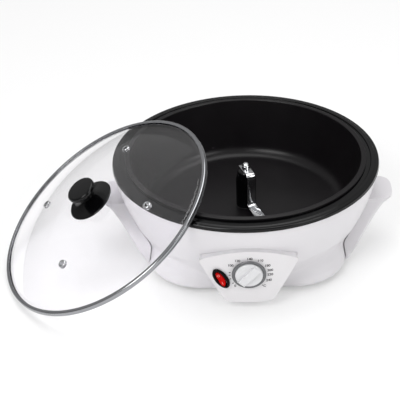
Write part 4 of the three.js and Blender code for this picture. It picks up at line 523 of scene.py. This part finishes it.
# Non-stick coat: charcoal, satin, with a fine orange peel, duller where it is worn
peel_mm, wear_mm = 1.5, 22
coated_aluminium, tree, shader, place = new_material("non_stick_coated_aluminium", {
    "Base Color": linear("#121012"), "Roughness": 0.3, "IOR": 1.4, "Specular IOR Level": 0.35})
peel = add_node(tree, "ShaderNodeTexNoise", {"Scale": 1000 / peel_mm, "Detail": 2},
                {"Vector": place})
dimple = add_node(tree, "ShaderNodeBump", {"Strength": 0.12, "Distance": 0.0002},
                  {"Height": peel.outputs["Fac"]})
tree.links.new(dimple.outputs["Normal"], shader.inputs["Normal"])
streak = add_node(tree, "ShaderNodeTexNoise", {"Scale": 1000 / wear_mm, "Detail": 4},
                  {"Vector": place})
worn = add_node(tree, "ShaderNodeMapRange", {"To Min": 0.24, "To Max": 0.4},
                {"Value": streak.outputs["Fac"]})
tree.links.new(worn.outputs["Result"], shader.inputs["Roughness"])

fillet_x = foot_radius - pan_fillet
pan_profile = ([(collar_bore, pan_floor - 3)]
               + arc(fillet_x, pan_floor + 13.5, 16.5, -90, 0, fillet_steps)
               + [(132.5, 104.2), (136, 104.2), (136, 106.7), (130.7, pan_lip), (lip_radius, 106.7)]
               + arc(fillet_x, pan_floor + pan_fillet, pan_fillet, 0, -90, fillet_steps)
               + [(11.1, pan_floor), (collar_outside, pan_floor + 3), (collar_outside, collar_top),
                  (collar_bore, collar_top)])
make_piece("pan_shell", spun(pan_profile, 192), coated_aluminium, "base",
           ["roasting_pan"], None, 0.5, 30)


# Stirrer
# A black hub slips over the collar onto the shaft. A bent strip of polished stainless steel
# lies on it under a cap nut, drops beside the hub and sweeps along the pan's floor.

hub_top, hub_foot = 86, 40.9
hub_profile = ([(9.6, hub_foot), (11.5, hub_foot), (11.5, 74)] + arc(6.5, 83, 3, 0, 90, 6)
               + [(3.3, hub_top), (3.3, 66.2), (8.9, 66.2), (8.9, 43.9)])
make_piece("stirrer_post", spun(hub_profile, 64), gloss_black, "stirrer",
           ["stirrer_hub"], None, 0.4, 30)

# The strip's path as (distance from the shaft, height): its bends have a radius of 4 mm, and beyond
# the second one it twists into a blade that leans 45 degrees
strip_width, strip_thickness, strip_z, strip_azimuth, strip_bend = 10, 1.6, 87.1, -68.5, 4
blade_z, twist_start, twist_length, strip_edge = pan_floor + 7.5, 24, 12, 0.3
strip_path = ([(-9.5, strip_z), (11.5, strip_z)]
              + arc(11.5, strip_z - strip_bend, strip_bend, 90, 0, 6)[1:] + [(15.5, blade_z + 20)]
              + arc(19.5, blade_z + strip_bend, strip_bend, 180, 270, 6)
              + [(31.5, blade_z), (50, blade_z), (94, blade_z), (102, blade_z + 3.5),
                 (106, blade_z + 8), (108.6, blade_z + 12), (110, blade_z + 16)])

# Polished stainless steel: mirror-bright, with a haze of fine rubbing marks from washing
rub_mm = 5
polished_stainless, tree, shader, place = new_material("polished_stainless_steel", {
    "Base Color": linear("#d9dadc"), "Metallic": 1.0, "Roughness": 0.1})
rub = add_node(tree, "ShaderNodeTexNoise", {"Scale": 1000 / rub_mm, "Detail": 6}, {"Vector": place})
smear = add_node(tree, "ShaderNodeMapRange", {"To Min": 0.06, "To Max": 0.18},
                 {"Value": rub.outputs["Fac"]})
tree.links.new(smear.outputs["Result"], shader.inputs["Roughness"])

strip = bmesh.new()
half = strip_width / 2
x, z = strip_path[0]
edge = strip.edges.new([strip.verts.new(Vector((x, y, z)) / 1000) for y in (-half, half)])
for x, z in strip_path[1:]:
    grown = bmesh.ops.extrude_edge_only(strip, edges=[edge])["geom"]
    edge = next(item for item in grown if isinstance(item, bmesh.types.BMEdge))
    tilt = min(1, max(0, (x - twist_start) / twist_length)) * math.pi / 4
    ends = sorted(edge.verts, key=lambda vert: vert.co.y)
    for vert, sign in zip(ends, (-1, 1)):
        vert.co = Vector((x, sign * half * math.cos(tilt), z + sign * half * math.sin(tilt))) / 1000
bmesh.ops.recalc_face_normals(strip, faces=strip.faces)
arm = make_piece("stirrer_strip", strip, polished_stainless, "stirrer",
                 ["stirrer_arm"], Matrix.Rotation(math.radians(strip_azimuth), 4, "Z"), 0, 60)
thicken(arm, strip_thickness, 0)
round_edges(arm, strip_edge, 50, 2)

nut_foot, nut_radius, nut_shoulder, nut_top = 88.2, 4.6, 91.6, 95
nut_dome = [(radius, min(z, nut_top)) for radius, z in arc(0, nut_shoulder, 4, 15, 90, 8)[:-1]]
nut_profile = ([(0, nut_foot), (nut_radius, nut_foot), (nut_radius, nut_shoulder)] + nut_dome
               + [(0, nut_top)])
make_piece("cap_nut", spun(nut_profile, 48), polished_stainless, "stirrer",
           ["stirrer_nut"], None, 0.25, 30)


# Control panel
# A curved white plate, 3 mm thick and bowed round the bowl, snaps onto the pod. The
# temperature scale is pad-printed on it in black round the knob.

# Smooth white ABS with the faintest pearl of a polished mould
pearl_mm = 18
panel_abs, tree, shader, place = new_material("satin_white_abs", {
    "Base Color": linear("#e4e2e4"), "Roughness": 0.34, "IOR": 1.54})
pearl = add_node(tree, "ShaderNodeTexNoise", {"Scale": 1000 / pearl_mm, "Detail": 3},
                 {"Vector": place})
soft = add_node(tree, "ShaderNodeMapRange", {"To Min": 0.3, "To Max": 0.4},
                {"Value": pearl.outputs["Fac"]})
tree.links.new(soft.outputs["Result"], shader.inputs["Roughness"])


def drill(bm, radius, long_share, place, depth=30):
    """Cuts an oval hole right through a mesh, along the local Z of a place."""
    mesh = bpy.data.meshes.new("blank")
    bm.to_mesh(mesh)
    bm.free()
    blank = bpy.data.objects.new("blank", mesh)
    bore = bmesh.new()
    bmesh.ops.create_cone(bore, cap_ends=True, segments=48, radius1=radius / 1000,
                          radius2=radius / 1000, depth=depth / 1000)
    bmesh.ops.scale(bore, vec=(1, long_share, 1), verts=bore.verts)
    bmesh.ops.transform(bore, matrix=place, verts=bore.verts)
    tool_mesh = bpy.data.meshes.new("bore")
    bore.to_mesh(tool_mesh)
    bore.free()
    tool = bpy.data.objects.new("bore", tool_mesh)
    for item in (blank, tool):
        bpy.context.scene.collection.objects.link(item)
    cut = blank.modifiers.new("cut", "BOOLEAN")
    cut.operation = "DIFFERENCE"
    cut.object = tool
    result = bmesh.new()
    result.from_mesh(blank.evaluated_get(bpy.context.evaluated_depsgraph_get()).to_mesh())
    for item in (blank, tool):
        bpy.data.objects.remove(item)
    return result


def on_panel(offset, height, turn=0):
    """Place on the panel's face: local Z points out, local Y up the panel."""
    radius = panel_radius(height)
    swing = math.asin(offset / radius)
    where = Matrix.Translation(Vector((offset, -radius * math.cos(swing), height)) / 1000)
    upright = Matrix.Rotation(math.pi / 2 + math.atan(panel_lean), 4, "X")
    return where @ Matrix.Rotation(swing, 4, "Z") @ upright @ Matrix.Rotation(turn, 4, "Z")


switch_offset, switch_z, switch_turn = -29.6, 37.3, 0.52
shaft_hole, switch_hole_short, switch_hole_long = 5.5, 6.1, 11.9
knob_place = on_panel(0, panel_knob_z)
switch_place = on_panel(switch_offset, switch_z, switch_turn)
plate = panel_sheet(0)
bmesh.ops.solidify(plate, geom=plate.faces[:], thickness=panel_thickness / 1000)
bmesh.ops.recalc_face_normals(plate, faces=plate.faces)
plate = drill(plate, shaft_hole, 1, knob_place)
plate = drill(plate, switch_hole_short, switch_hole_long / switch_hole_short, switch_place)
make_piece("panel_plate", plate, panel_abs, "base", ["control_panel"], None, 0.6, 40)

# Pad-printing ink: flat black and a few microns thick, its grit drawn coarse enough to show
grit_mm = 0.8
print_black, tree, shader, place = new_material("pad_print_ink", {
    "Base Color": linear("#0e0e10"), "Roughness": 0.6})
grit = add_node(tree, "ShaderNodeTexNoise", {"Scale": 1000 / grit_mm, "Detail": 2},
                {"Vector": place})
ink = add_node(tree, "ShaderNodeMapRange", {"To Min": 0.5, "To Max": 0.7},
               {"Value": grit.outputs["Fac"]})
tree.links.new(ink.outputs["Result"], shader.inputs["Roughness"])

# Clockwise angle from the top, distance from the knob's centre, and what is printed there
scale_marks = [(220.8, 22.8, "0"), (231.5, 22, "-"), (248, 21.6, "-"), (262, 20.9, "-"),
               (271.9, 20.5, "-"), (298.2, 22, "100"), (324.4, 20.9, "120"), (2.5, 19.6, "140"),
               (36.1, 20.6, "160"), (64.9, 21.8, "180"), (83.1, 22.8, "200"), (98.1, 22.9, "220"),
               (117, 23.8, "240"), (139, 24.2, "°C")]
tick_width, tick_height, ink_lift = 1.8, 1.1, 0.06
# The font's size is 1.32 times the height of its figures, and the offset thickens their strokes
figure_height, size_share, stroke_offset, letter_spacing = 3.3, 1.32, 0.1, 0.95
for index, (angle, distance, text) in enumerate(scale_marks):
    across = distance * math.sin(math.radians(angle))
    up = distance * math.cos(math.radians(angle))
    if text == "-":
        mark = bmesh.new()
        bmesh.ops.create_grid(mark, x_segments=1, y_segments=1, size=0.5)
        bmesh.ops.scale(mark, vec=(tick_width, tick_height, 1), verts=mark.verts)
        bmesh.ops.rotate(mark, matrix=Matrix.Rotation(math.radians(-angle - 90), 3, "Z"),
                         verts=mark.verts)
    else:
        letters = bpy.data.curves.new("figures", "FONT")
        letters.body = text
        letters.size = figure_height * size_share
        letters.align_x = "CENTER"
        letters.align_y = "CENTER"
        letters.offset = stroke_offset
        letters.space_character = letter_spacing
        holder = bpy.data.objects.new("figures", letters)
        bpy.context.scene.collection.objects.link(holder)
        mark = bmesh.new()
        mark.from_mesh(holder.evaluated_get(bpy.context.evaluated_depsgraph_get()).to_mesh())
        bpy.data.objects.remove(holder)
    bmesh.ops.triangulate(mark, faces=mark.faces)
    for vert in mark.verts:
        x, z = across + vert.co.x, panel_knob_z + up + vert.co.y
        radius = panel_radius(z) + ink_lift
        vert.co = Vector((x, -math.sqrt(radius ** 2 - x ** 2), z)) / 1000
    if sum(face.normal.y for face in mark.faces) > 0:
        bmesh.ops.reverse_faces(mark, faces=mark.faces)
    make_piece("scale_mark_%d" % (index + 1), mark, print_black, "base")


# Temperature knob
# A white thermoset cap with a raised grip bar, pushed onto the thermostat's shaft, and a satin
# silver ring round its skirt.

knob_lift, knob_flange, knob_flange_top, knob_body, knob_face = 0.4, 17.5, 1.3, 14.8, 4.8
knob_bore, knob_hollow, knob_seat, knob_chamfer = 3.3, 12.4, 3.3, 0.9
bar_length, bar_width, bar_rise, bar_edge = 27.8, 9.4, 3.4, 1.1
ring_inner, ring_outer, ring_low, ring_top, ring_round = 15.1, 18.4, 1.6, 3.1, 0.6
# The bar lies along the line of the scale's zero, in degrees clockwise from the top
pointer = 222.3

# White melamine: hard, smooth and slightly cloudy
milk_mm = 12
knob_white, tree, shader, place = new_material("white_melamine", {
    "Base Color": linear("#dedee0"), "Roughness": 0.24, "IOR": 1.55})
milk = add_node(tree, "ShaderNodeTexNoise", {"Scale": 1000 / milk_mm, "Detail": 2},
                {"Vector": place})
calm = add_node(tree, "ShaderNodeMapRange", {"To Min": 0.24, "To Max": 0.34},
                {"Value": milk.outputs["Fac"]})
tree.links.new(calm.outputs["Result"], shader.inputs["Roughness"])

cap = spun([(knob_bore, knob_seat), (knob_hollow, knob_seat), (knob_hollow, knob_lift),
            (knob_flange, knob_lift), (knob_flange, knob_flange_top), (knob_body, knob_flange_top),
            (knob_body, knob_face - knob_chamfer), (knob_body - knob_chamfer, knob_face),
            (0, knob_face), (0, knob_seat + 0.2), (knob_bore, knob_seat + 0.2)], 96)
bar = bmesh.new()
bmesh.ops.create_cube(bar, size=1)
bmesh.ops.scale(bar, vec=(bar_length / 1000, bar_width / 1000, (bar_rise + 1) / 1000),
                verts=bar.verts)
bmesh.ops.translate(bar, vec=(0, 0, (knob_face + bar_rise / 2 - 0.5) / 1000), verts=bar.verts)


def bar_edges(axis, above):
    """The bar's edges that run across an axis (0 is X, 1 is Y) above a height in mm."""
    return [edge for edge in bar.edges if all(vert.co.z > above / 1000 for vert in edge.verts)
            and abs(edge.verts[0].co[axis] - edge.verts[1].co[axis]) < 1e-6]


bmesh.ops.bevel(bar, geom=bar_edges(0, knob_face), offset=(bar_rise - 0.1) / 1000, segments=10,
                profile=0.5, affect="EDGES", material=-1)
bmesh.ops.bevel(bar, geom=bar_edges(1, knob_face + 3), offset=bar_edge / 1000, segments=4,
                profile=0.5, affect="EDGES", material=-1)
bar_mesh = bpy.data.meshes.new("bar")
bar.to_mesh(bar_mesh)
bar.free()
cap.from_mesh(bar_mesh)
knob_turn = Matrix.Rotation(math.pi / 2 - math.radians(pointer), 4, "Z")
knob_cap = make_piece("knob_cap", cap, knob_white, "dial", ["temperature_knob"],
                      knob_place @ knob_turn, 0.4, 35)
# Keeps the shading of the flat faces flat beside their rounded edges
knob_cap.modifiers.new("flat_faces", "WEIGHTED_NORMAL").keep_sharp = True

# Satin silver: vacuum-metallised plastic with a fine turned finish, dark between its bright edges
turned_mm = 3
satin_silver, tree, shader, place = new_material("satin_metallised_ring", {
    "Base Color": linear("#727375"), "Metallic": 0.85, "Roughness": 0.36})
turned = add_node(tree, "ShaderNodeTexNoise", {"Scale": 1000 / turned_mm, "Detail": 4},
                  {"Vector": place})
brush = add_node(tree, "ShaderNodeMapRange", {"To Min": 0.3, "To Max": 0.44},
                 {"Value": turned.outputs["Fac"]})
tree.links.new(brush.outputs["Result"], shader.inputs["Roughness"])
ring = spun([(ring_inner, ring_low), (ring_outer, ring_low), (ring_outer, ring_top - ring_round),
             (ring_outer - ring_round, ring_top), (ring_inner + ring_round / 2, ring_top),
             (ring_inner, ring_top - ring_round / 2)], 112)
make_piece("knob_trim", ring, satin_silver, "dial", ["knob_ring"], knob_place,
           0.2, 20)


# Rocker switch
# A stock oval rocker switch: a black bezel that snaps into the panel and a red rocker with
# moulded-in off and on marks.

switch_long, switch_short, bezel_base, bezel_lip, bezel_snap = 27, 15.4, 0.9, 2.2, 3.8
cavity_long, cavity_short, cavity_floor, switch_back = 20.6, 9, -8, -15


def oval(bm, long, short, z):
    """A flat oval of edges, long along Y, at a height; its edges are ready to be bridged."""
    ring = bmesh.ops.create_circle(bm, segments=64, radius=0.5)["verts"]
    bmesh.ops.scale(bm, vec=(short / 1000, long / 1000, 1), verts=ring)
    bmesh.ops.translate(bm, vec=(0, 0, z / 1000), verts=ring)
    return list({edge for vert in ring for edge in vert.link_edges})


bezel = bmesh.new()
loops = [oval(bezel, cavity_long, cavity_short, cavity_floor),
         oval(bezel, cavity_long, cavity_short, bezel_lip),
         oval(bezel, cavity_long + 1, cavity_short + 1, bezel_base + bezel_lip - 0.1),
         oval(bezel, switch_long - 2.2, switch_short - 2.2, bezel_base + bezel_lip),
         oval(bezel, switch_long - 0.5, switch_short - 0.5, bezel_base + 1.4),
         oval(bezel, switch_long, switch_short, bezel_base),
         oval(bezel, switch_long - bezel_snap, switch_short - bezel_snap, bezel_base),
         oval(bezel, switch_long - bezel_snap, switch_short - bezel_snap, switch_back)]
for inner, outer in zip(loops, loops[1:]):
    bmesh.ops.bridge_loops(bezel, edges=inner + outer)
bmesh.ops.holes_fill(bezel, edges=loops[0] + loops[-1])
bmesh.ops.recalc_face_normals(bezel, faces=bezel.faces)

# Glass-filled nylon: deep black, with the faint haze of its fibres
fibre_mm = 2
nylon_black, tree, shader, place = new_material("black_filled_nylon", {
    "Base Color": linear("#030304"), "Roughness": 0.4, "IOR": 1.5, "Specular IOR Level": 0.1})
fibres = add_node(tree, "ShaderNodeTexNoise", {"Scale": 1000 / fibre_mm, "Detail": 2},
                  {"Vector": place})
veil = add_node(tree, "ShaderNodeMapRange", {"To Min": 0.34, "To Max": 0.46},
                {"Value": fibres.outputs["Fac"]})
tree.links.new(veil.outputs["Result"], shader.inputs["Roughness"])
make_piece("switch_frame", bezel, nylon_black, "base", ["switch_bezel"],
           switch_place, 0.3, 30)

# Red polycarbonate: saturated, and deeper in colour where it is thick
glow_mm = 8
rocker_red, tree, shader, place = new_material("red_polycarbonate", {
    "Base Color": linear("#c80e0a"), "Roughness": 0.3, "IOR": 1.5, "Specular IOR Level": 0.05})
glow = add_node(tree, "ShaderNodeTexNoise", {"Scale": 1000 / glow_mm, "Detail": 1},
                {"Vector": place})
depth_tint = add_node(tree, "ShaderNodeValToRGB", links={"Fac": glow.outputs["Fac"]})
depth_tint.color_ramp.elements[0].color = linear("#b00604")
depth_tint.color_ramp.elements[1].color = linear("#c60c08")
tree.links.new(depth_tint.outputs["Color"], shader.inputs["Base Color"])

rocker_long, rocker_short, rocker_swing = 17.6, 7.2, 8
rocker_face, rocker_lift, rocker_dip = 3.1, 1.33, 0.8
rocker = bmesh.new()
tiers = [oval(rocker, rocker_long * 0.6, rocker_short, rocker_face - 4.5),
         oval(rocker, rocker_long, rocker_short, rocker_face - 2.2),
         oval(rocker, rocker_long, rocker_short, rocker_face - 0.4),
         oval(rocker, rocker_long - 2.4, rocker_short - 2, rocker_face + 0.2)]
for inner, outer in zip(tiers, tiers[1:]):
    bmesh.ops.bridge_loops(rocker, edges=inner + outer)
bmesh.ops.holes_fill(rocker, edges=tiers[0] + tiers[-1])
for y in (-7.5, -5, -2.5, -1, 0, 1, 2.5, 5, 7.5):
    bmesh.ops.bisect_plane(rocker, geom=rocker.verts[:] + rocker.edges[:] + rocker.faces[:],
                           plane_co=(0, y / 1000, 0), plane_no=(0, 1, 0), dist=1e-7)
for vert in rocker.verts:
    if vert.co.z > (rocker_face - 1) / 1000:
        share = abs(vert.co.y) * 2000 / rocker_long
        vert.co.z += (rocker_lift * share - rocker_dip * (1 - share)) / 1000
bmesh.ops.recalc_face_normals(rocker, faces=rocker.faces)
rocker_place = switch_place @ Matrix.Rotation(math.radians(-rocker_swing), 4, "X")
make_piece("rocker_button", rocker, rocker_red, "rocker", ["switch_rocker"],
           rocker_place, 0.3, 30)

# The two marks on the rocker: a ring for off and a bar for on, moulded in pale plastic, its specks
# drawn coarse enough to show
speck_mm = 1.5
pale_mark, tree, shader, place = new_material("pale_red_inlay", {
    "Base Color": linear("#f08f86"), "Roughness": 0.35})
speck = add_node(tree, "ShaderNodeTexNoise", {"Scale": 1000 / speck_mm, "Detail": 2},
                 {"Vector": place})
matt = add_node(tree, "ShaderNodeMapRange", {"To Min": 0.3, "To Max": 0.42},
                {"Value": speck.outputs["Fac"]})
tree.links.new(matt.outputs["Result"], shader.inputs["Roughness"])
mark_y, mark_share, mark_rise, mark_inner, mark_outer, mark_bar = 4.8, 0.52, 0.12, 1.15, 1.6, 3
mark_z = (rocker_face + 0.2 + rocker_lift * mark_share - rocker_dip * (1 - mark_share)) + mark_rise
slope = math.atan((rocker_lift + rocker_dip) / (rocker_long / 2))
off_ring = spun([(mark_inner, 0), (mark_outer, 0), (mark_outer, mark_rise),
                 (mark_inner, mark_rise)], 32)
make_piece("off_mark", off_ring, pale_mark, "rocker", (),
           rocker_place @ Matrix.Translation((0, mark_y / 1000, (mark_z - 0.1) / 1000))
           @ Matrix.Rotation(slope, 4, "X"))
on_bar = bmesh.new()
bmesh.ops.create_cube(on_bar, size=1)
bmesh.ops.scale(on_bar, vec=(0.5 / 1000, mark_bar / 1000, mark_rise / 1000), verts=on_bar.verts)
make_piece("on_mark", on_bar, pale_mark, "rocker", (),
           rocker_place @ Matrix.Translation((0, -mark_y / 1000, (mark_z - 0.04) / 1000))
           @ Matrix.Rotation(-slope, 4, "X"))


# Cord bush
# A black rubber bush lines the hole for the power lead in the rear wall.

bush_z = 22
bush_slope = math.atan((bowl_radius(bush_z + 1) - bowl_radius(bush_z - 1)) / 2)
bush_place = (Matrix.Translation((0, bowl_radius(bush_z) / 1000, bush_z / 1000))
              @ Matrix.Rotation(-math.pi / 2 - bush_slope, 4, "X"))
bush = spun([(3.8, -5.7), (8.5, -5.7), (8.5, -3.7), (6, -3.7), (6, 0.7), (8.5, 0.7), (8.5, 2.7),
             (6, 2.7), (4.7, 7), (3.8, 7)], 48)
make_piece("lead_bush", bush, foot_rubber, "base", ["cord_bush"], bush_place, 0.4, 30)


# Glass lid
# A shallow dome of clear tempered glass, 3.5 mm thick, its edge wrapped in a thin stainless
# band. It leans on the rim with its low edge on the floor.

lid_radius, band_width, band_half, band_wall = 134.3, 5.2, 3, 0.9
band_inner = lid_radius - band_width
glass_thickness, dome_height, pad_radius, dome_power = 3.5, 24.5, 27, 2.5
glass_bore, dome_steps, lid_tilt, lid_azimuth = 3, 24, 32.3, 200.4
glass_foot = band_wall + 0.3 - band_half
low, high = (Vector(corner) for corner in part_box("lid_rim_band"))
lean_axis = Vector((-math.sin(math.radians(lid_azimuth)), math.cos(math.radians(lid_azimuth)), 0))
lid_place = (Matrix.Translation((low + high) / 2)
             @ Matrix.Rotation(math.radians(lid_tilt), 4, lean_axis))


def under_glass(radius):
    """Height of the dome's underside: flat under the knob's skirt, and steeper towards the band."""
    rise = dome_height - glass_foot - glass_thickness
    spread = min(max(radius, pad_radius) / band_inner, 1)
    drop = (1 - spread ** dome_power) / (1 - (pad_radius / band_inner) ** dome_power)
    return glass_foot + rise * drop


# Soda-lime glass: clear, with long soft waves from its quenching. It lets the lamps' light through,
# so that only a faint shadow falls behind it.
quench_mm = 60
clear_glass, tree, shader, place = new_material("tempered_soda_lime_glass", {
    "Base Color": linear("#fbfafc"), "Roughness": 0.0, "IOR": 1.5, "Transmission Weight": 1.0})
stress = add_node(tree, "ShaderNodeTexNoise", {"Scale": 1000 / quench_mm, "Detail": 1},
                  {"Vector": place})
sway = add_node(tree, "ShaderNodeBump", {"Strength": 0.02, "Distance": 0.001},
                {"Height": stress.outputs["Fac"]})
tree.links.new(sway.outputs["Normal"], shader.inputs["Normal"])
path = add_node(tree, "ShaderNodeLightPath")
open_way = add_node(tree, "ShaderNodeBsdfTransparent", {"Color": linear("#f4f4f5")})
pane = add_node(tree, "ShaderNodeMixShader", links={
    "Fac": path.outputs["Is Shadow Ray"], 1: shader.outputs["BSDF"], 2: open_way.outputs["BSDF"]})
tree.links.new(pane.outputs["Shader"], tree.nodes["Material Output"].inputs["Surface"])

open_span = band_inner - pad_radius
radii = [glass_bore] + [pad_radius + open_span * i / dome_steps for i in range(dome_steps + 1)]
radii.append(lid_radius - band_wall - 0.3)
glass_profile = ([(r, under_glass(r) + glass_thickness) for r in radii]
                 + [(r, under_glass(r)) for r in reversed(radii)])
dome = spun(glass_profile, 160)
vent_inset, vent_azimuth, vent_hole, vent_count = 50, 58.3, 3.5, 4
vent_circle, vent_places = band_inner - vent_inset, []
fall = math.atan2(under_glass(vent_circle - 4) - under_glass(vent_circle + 4), 8)
vent_seat = Matrix.Translation((vent_circle / 1000, 0, under_glass(vent_circle) / 1000))
for i in range(vent_count):
    turn = math.radians(vent_azimuth + 360 / vent_count * i)
    vent_places.append(Matrix.Rotation(turn, 4, "Z") @ vent_seat @ Matrix.Rotation(fall, 4, "Y"))
    dome = drill(dome, vent_hole, 1, vent_places[-1])
make_piece("glass_dome", dome, clear_glass, "lid", ["lid_glass"], lid_place, 0.3, 40)

# Bright-rolled stainless strip: darker than the polished parts, with soft streaks from its rollers
roll_mm = 8
rolled_stainless, tree, shader, place = new_material("rolled_stainless_strip", {
    "Base Color": linear("#a0a1a4"), "Metallic": 1.0, "Roughness": 0.12})
streaks = add_node(tree, "ShaderNodeTexNoise", {"Scale": 1000 / roll_mm, "Detail": 4},
                   {"Vector": place})
lustre = add_node(tree, "ShaderNodeMapRange", {"To Min": 0.08, "To Max": 0.2},
                  {"Value": streaks.outputs["Fac"]})
tree.links.new(lustre.outputs["Result"], shader.inputs["Roughness"])
# The band's section, as insets from its outer edge and heights from its middle
band_section = [(-band_width, -band_half), (-1.3, -band_half), (-0.4, -2.4), (-0.15, -1.4),
                (-0.5, -0.3), (-0.5, 0.3), (-0.15, 1.4), (-0.4, 2.4), (-1.3, band_half),
                (-4.3, band_half), (-4.3, 2.05), (-1, 2.05), (-1, -2.1), (-band_width, -2.1)]
band_profile = [(lid_radius + inset, height) for inset, height in band_section]
make_piece("lid_band", spun(band_profile, 200), rolled_stainless, "lid",
           ["lid_rim_band"], lid_place, 0.3, 20)

# Eyelets: pressed stainless rings that line the four steam holes
eyelet_bore, eyelet_neck, eyelet_flange = 2.2, 3.2, 4.8
eyelet_profile = [(eyelet_bore, -1.1), (eyelet_flange, -1.1), (eyelet_flange, -0.3),
                  (eyelet_neck, -0.3), (eyelet_neck, 3.8), (eyelet_flange, 3.8), (4, 4.6),
                  (eyelet_bore, 4.6)]
for i, vent_place in enumerate(vent_places, 1):
    make_piece("steam_eyelet_%d" % i, spun(eyelet_profile, 40), ground_stainless, "lid",
               ["vent_eyelet_%d" % i], lid_place @ vent_place, 0.3, 30)


# Lid knob
# A black phenolic knob stands on a flared skirt of the same moulding compound. A screw from below
# draws both down on the glass, over a rubber washer.

# Both profiles as radii and heights over the glass's crown
crown, screw_hole, grip_neck, grip_radius = dome_height + 0.3, 2.5, 9, 16.6
skirt_profile = [(screw_hole, 0), (26, 0), (27, 1), (26, 2), (21, 3), (16.5, 4.4), (13, 5.8),
                 (10.6, 7), (grip_neck, 8), (screw_hole, 8)]
grip_profile = [(screw_hole, 8.3), (grip_neck, 8.3), (grip_neck, 11.6), (10.5, 14), (13.8, 15.6),
                (15.5, 16), (grip_radius, 17.4), (grip_radius, 20.6), (15.5, 21.9), (13, 22.3),
                (0, 22.5), (0, 12.3), (screw_hole, 12.3)]
for name, profile, node, edge_mm, sharp in (
        ("knob_skirt", skirt_profile, "lid_knob_skirt", 0.6, 25),
        ("knob_grip", grip_profile, "lid_knob", 0.7, 20)):
    raised = [(radius, crown + height) for radius, height in profile]
    make_piece(name, spun(raised, 80), gloss_black, "lid", [node], lid_place,
               edge_mm, sharp)


# Studio
# A pale floor that runs out to white, soft boxes as key, fill and top light, a weak card behind,
# and the camera at the height and angle of a product photograph. Sizes here are in metres.

floor_half, white_share = 6, 0.4
floor_mesh = bmesh.new()
bmesh.ops.create_grid(floor_mesh, x_segments=1, y_segments=1, size=floor_half)
bmesh.ops.translate(floor_mesh, vec=(0, 0, -foot_height / 1000), verts=floor_mesh.verts)
mesh = bpy.data.meshes.new("floor")
floor_mesh.to_mesh(mesh)
floor_mesh.free()
floor = bpy.data.objects.new("floor", mesh)
bpy.context.scene.collection.objects.link(floor)
# Seen directly, in metal or through glass the floor is part plain white, so its shadows stay light
floor_paint, tree, shader, place = new_material("matt_white_floor", {
    "Base Color": linear("#f6f6f6"), "Roughness": 0.9, "Specular IOR Level": 0.0})
path = add_node(tree, "ShaderNodeLightPath")
seen = path.outputs["Is Camera Ray"]
for ray in ("Is Glossy Ray", "Is Transmission Ray"):
    either = add_node(tree, "ShaderNodeMath", {"operation": "ADD", "use_clamp": True},
                      {0: seen, 1: path.outputs[ray]})
    seen = either.outputs["Value"]
part_white = add_node(tree, "ShaderNodeMath", {"operation": "MULTIPLY"}, {0: seen})
part_white.inputs[1].default_value = white_share
plain_white = add_node(tree, "ShaderNodeEmission", {"Color": linear("#ffffff"), "Strength": 1.0})
sheet = add_node(tree, "ShaderNodeMixShader", links={
    "Fac": part_white.outputs["Value"], 1: shader.outputs["BSDF"],
    2: plain_white.outputs["Emission"]})
tree.links.new(sheet.outputs["Shader"], tree.nodes["Material Output"].inputs["Surface"])
mesh.materials.append(floor_paint)

world = bpy.data.worlds.new("studio")
bpy.context.scene.world = world
world.use_nodes = True
tree = world.node_tree
background = tree.nodes["Background"]
background.inputs["Color"].default_value = linear("#ffffff")
# The room is bright overhead and darker towards the horizon, which outlines pale and polished edges
horizon_light, overhead_light, overhead_height = 0.1, 0.5, 0.7
towards = add_node(tree, "ShaderNodeTexCoord").outputs["Generated"]
height = add_node(tree, "ShaderNodeSeparateXYZ", links={"Vector": towards})
ceiling = add_node(tree, "ShaderNodeMapRange", {
    "From Max": overhead_height, "To Min": horizon_light, "To Max": overhead_light},
    {"Value": height.outputs["Z"]})
tree.links.new(ceiling.outputs["Result"], background.inputs["Strength"])


def softbox(name, where, towards, size, power):
    lamp = bpy.data.lights.new(name, "AREA")
    lamp.shape = "RECTANGLE"
    lamp.size, lamp.size_y = size
    lamp.energy = power
    holder = bpy.data.objects.new(name, lamp)
    holder.location = where
    holder.rotation_euler = (Vector(towards) - Vector(where)).to_track_quat("-Z", "Y").to_euler()
    bpy.context.scene.collection.objects.link(holder)


softbox("key", (-0.9, -1.3, 1.5), (0, 0, 0.05), (0.9, 0.9), 18)
softbox("fill", (1.3, -1.0, 1.1), (0, 0, 0.05), (0.8, 0.8), 9)
softbox("top", (0.2, 0.4, 1.9), (0, 0, 0.05), (1.4, 1.4), 17)
softbox("card", (-1.0, 1.1, 0.9), (-0.1, 0, 0.1), (1.2, 1.0), 0.5)

# Turned in this order: yaw about the vertical, pitch down, and roll about the line of sight
camera_at = Vector((-0.0157, -1.2738, 0.8491))
yaw, pitch, roll = (math.radians(angle) for angle in (-1.7, 32.2, -2.14))
ahead = Vector((math.sin(yaw) * math.cos(pitch), math.cos(yaw) * math.cos(pitch), -math.sin(pitch)))
right = Vector((math.cos(yaw), -math.sin(yaw), 0))
over = right.cross(ahead)
across = right * math.cos(roll) + over * math.sin(roll)
upward = -right * math.sin(roll) + over * math.cos(roll)
camera_data = bpy.data.cameras.new("camera")
camera_data.sensor_width, camera_data.lens = 36, 117
camera = bpy.data.objects.new("camera", camera_data)
camera.matrix_world = Matrix((
    (across.x, upward.x, -ahead.x, camera_at.x),
    (across.y, upward.y, -ahead.y, camera_at.y),
    (across.z, upward.z, -ahead.z, camera_at.z),
    (0, 0, 0, 1)))
bpy.context.scene.collection.objects.link(camera)
bpy.context.scene.camera = camera
bpy.context.scene.view_settings.view_transform = "Standard"
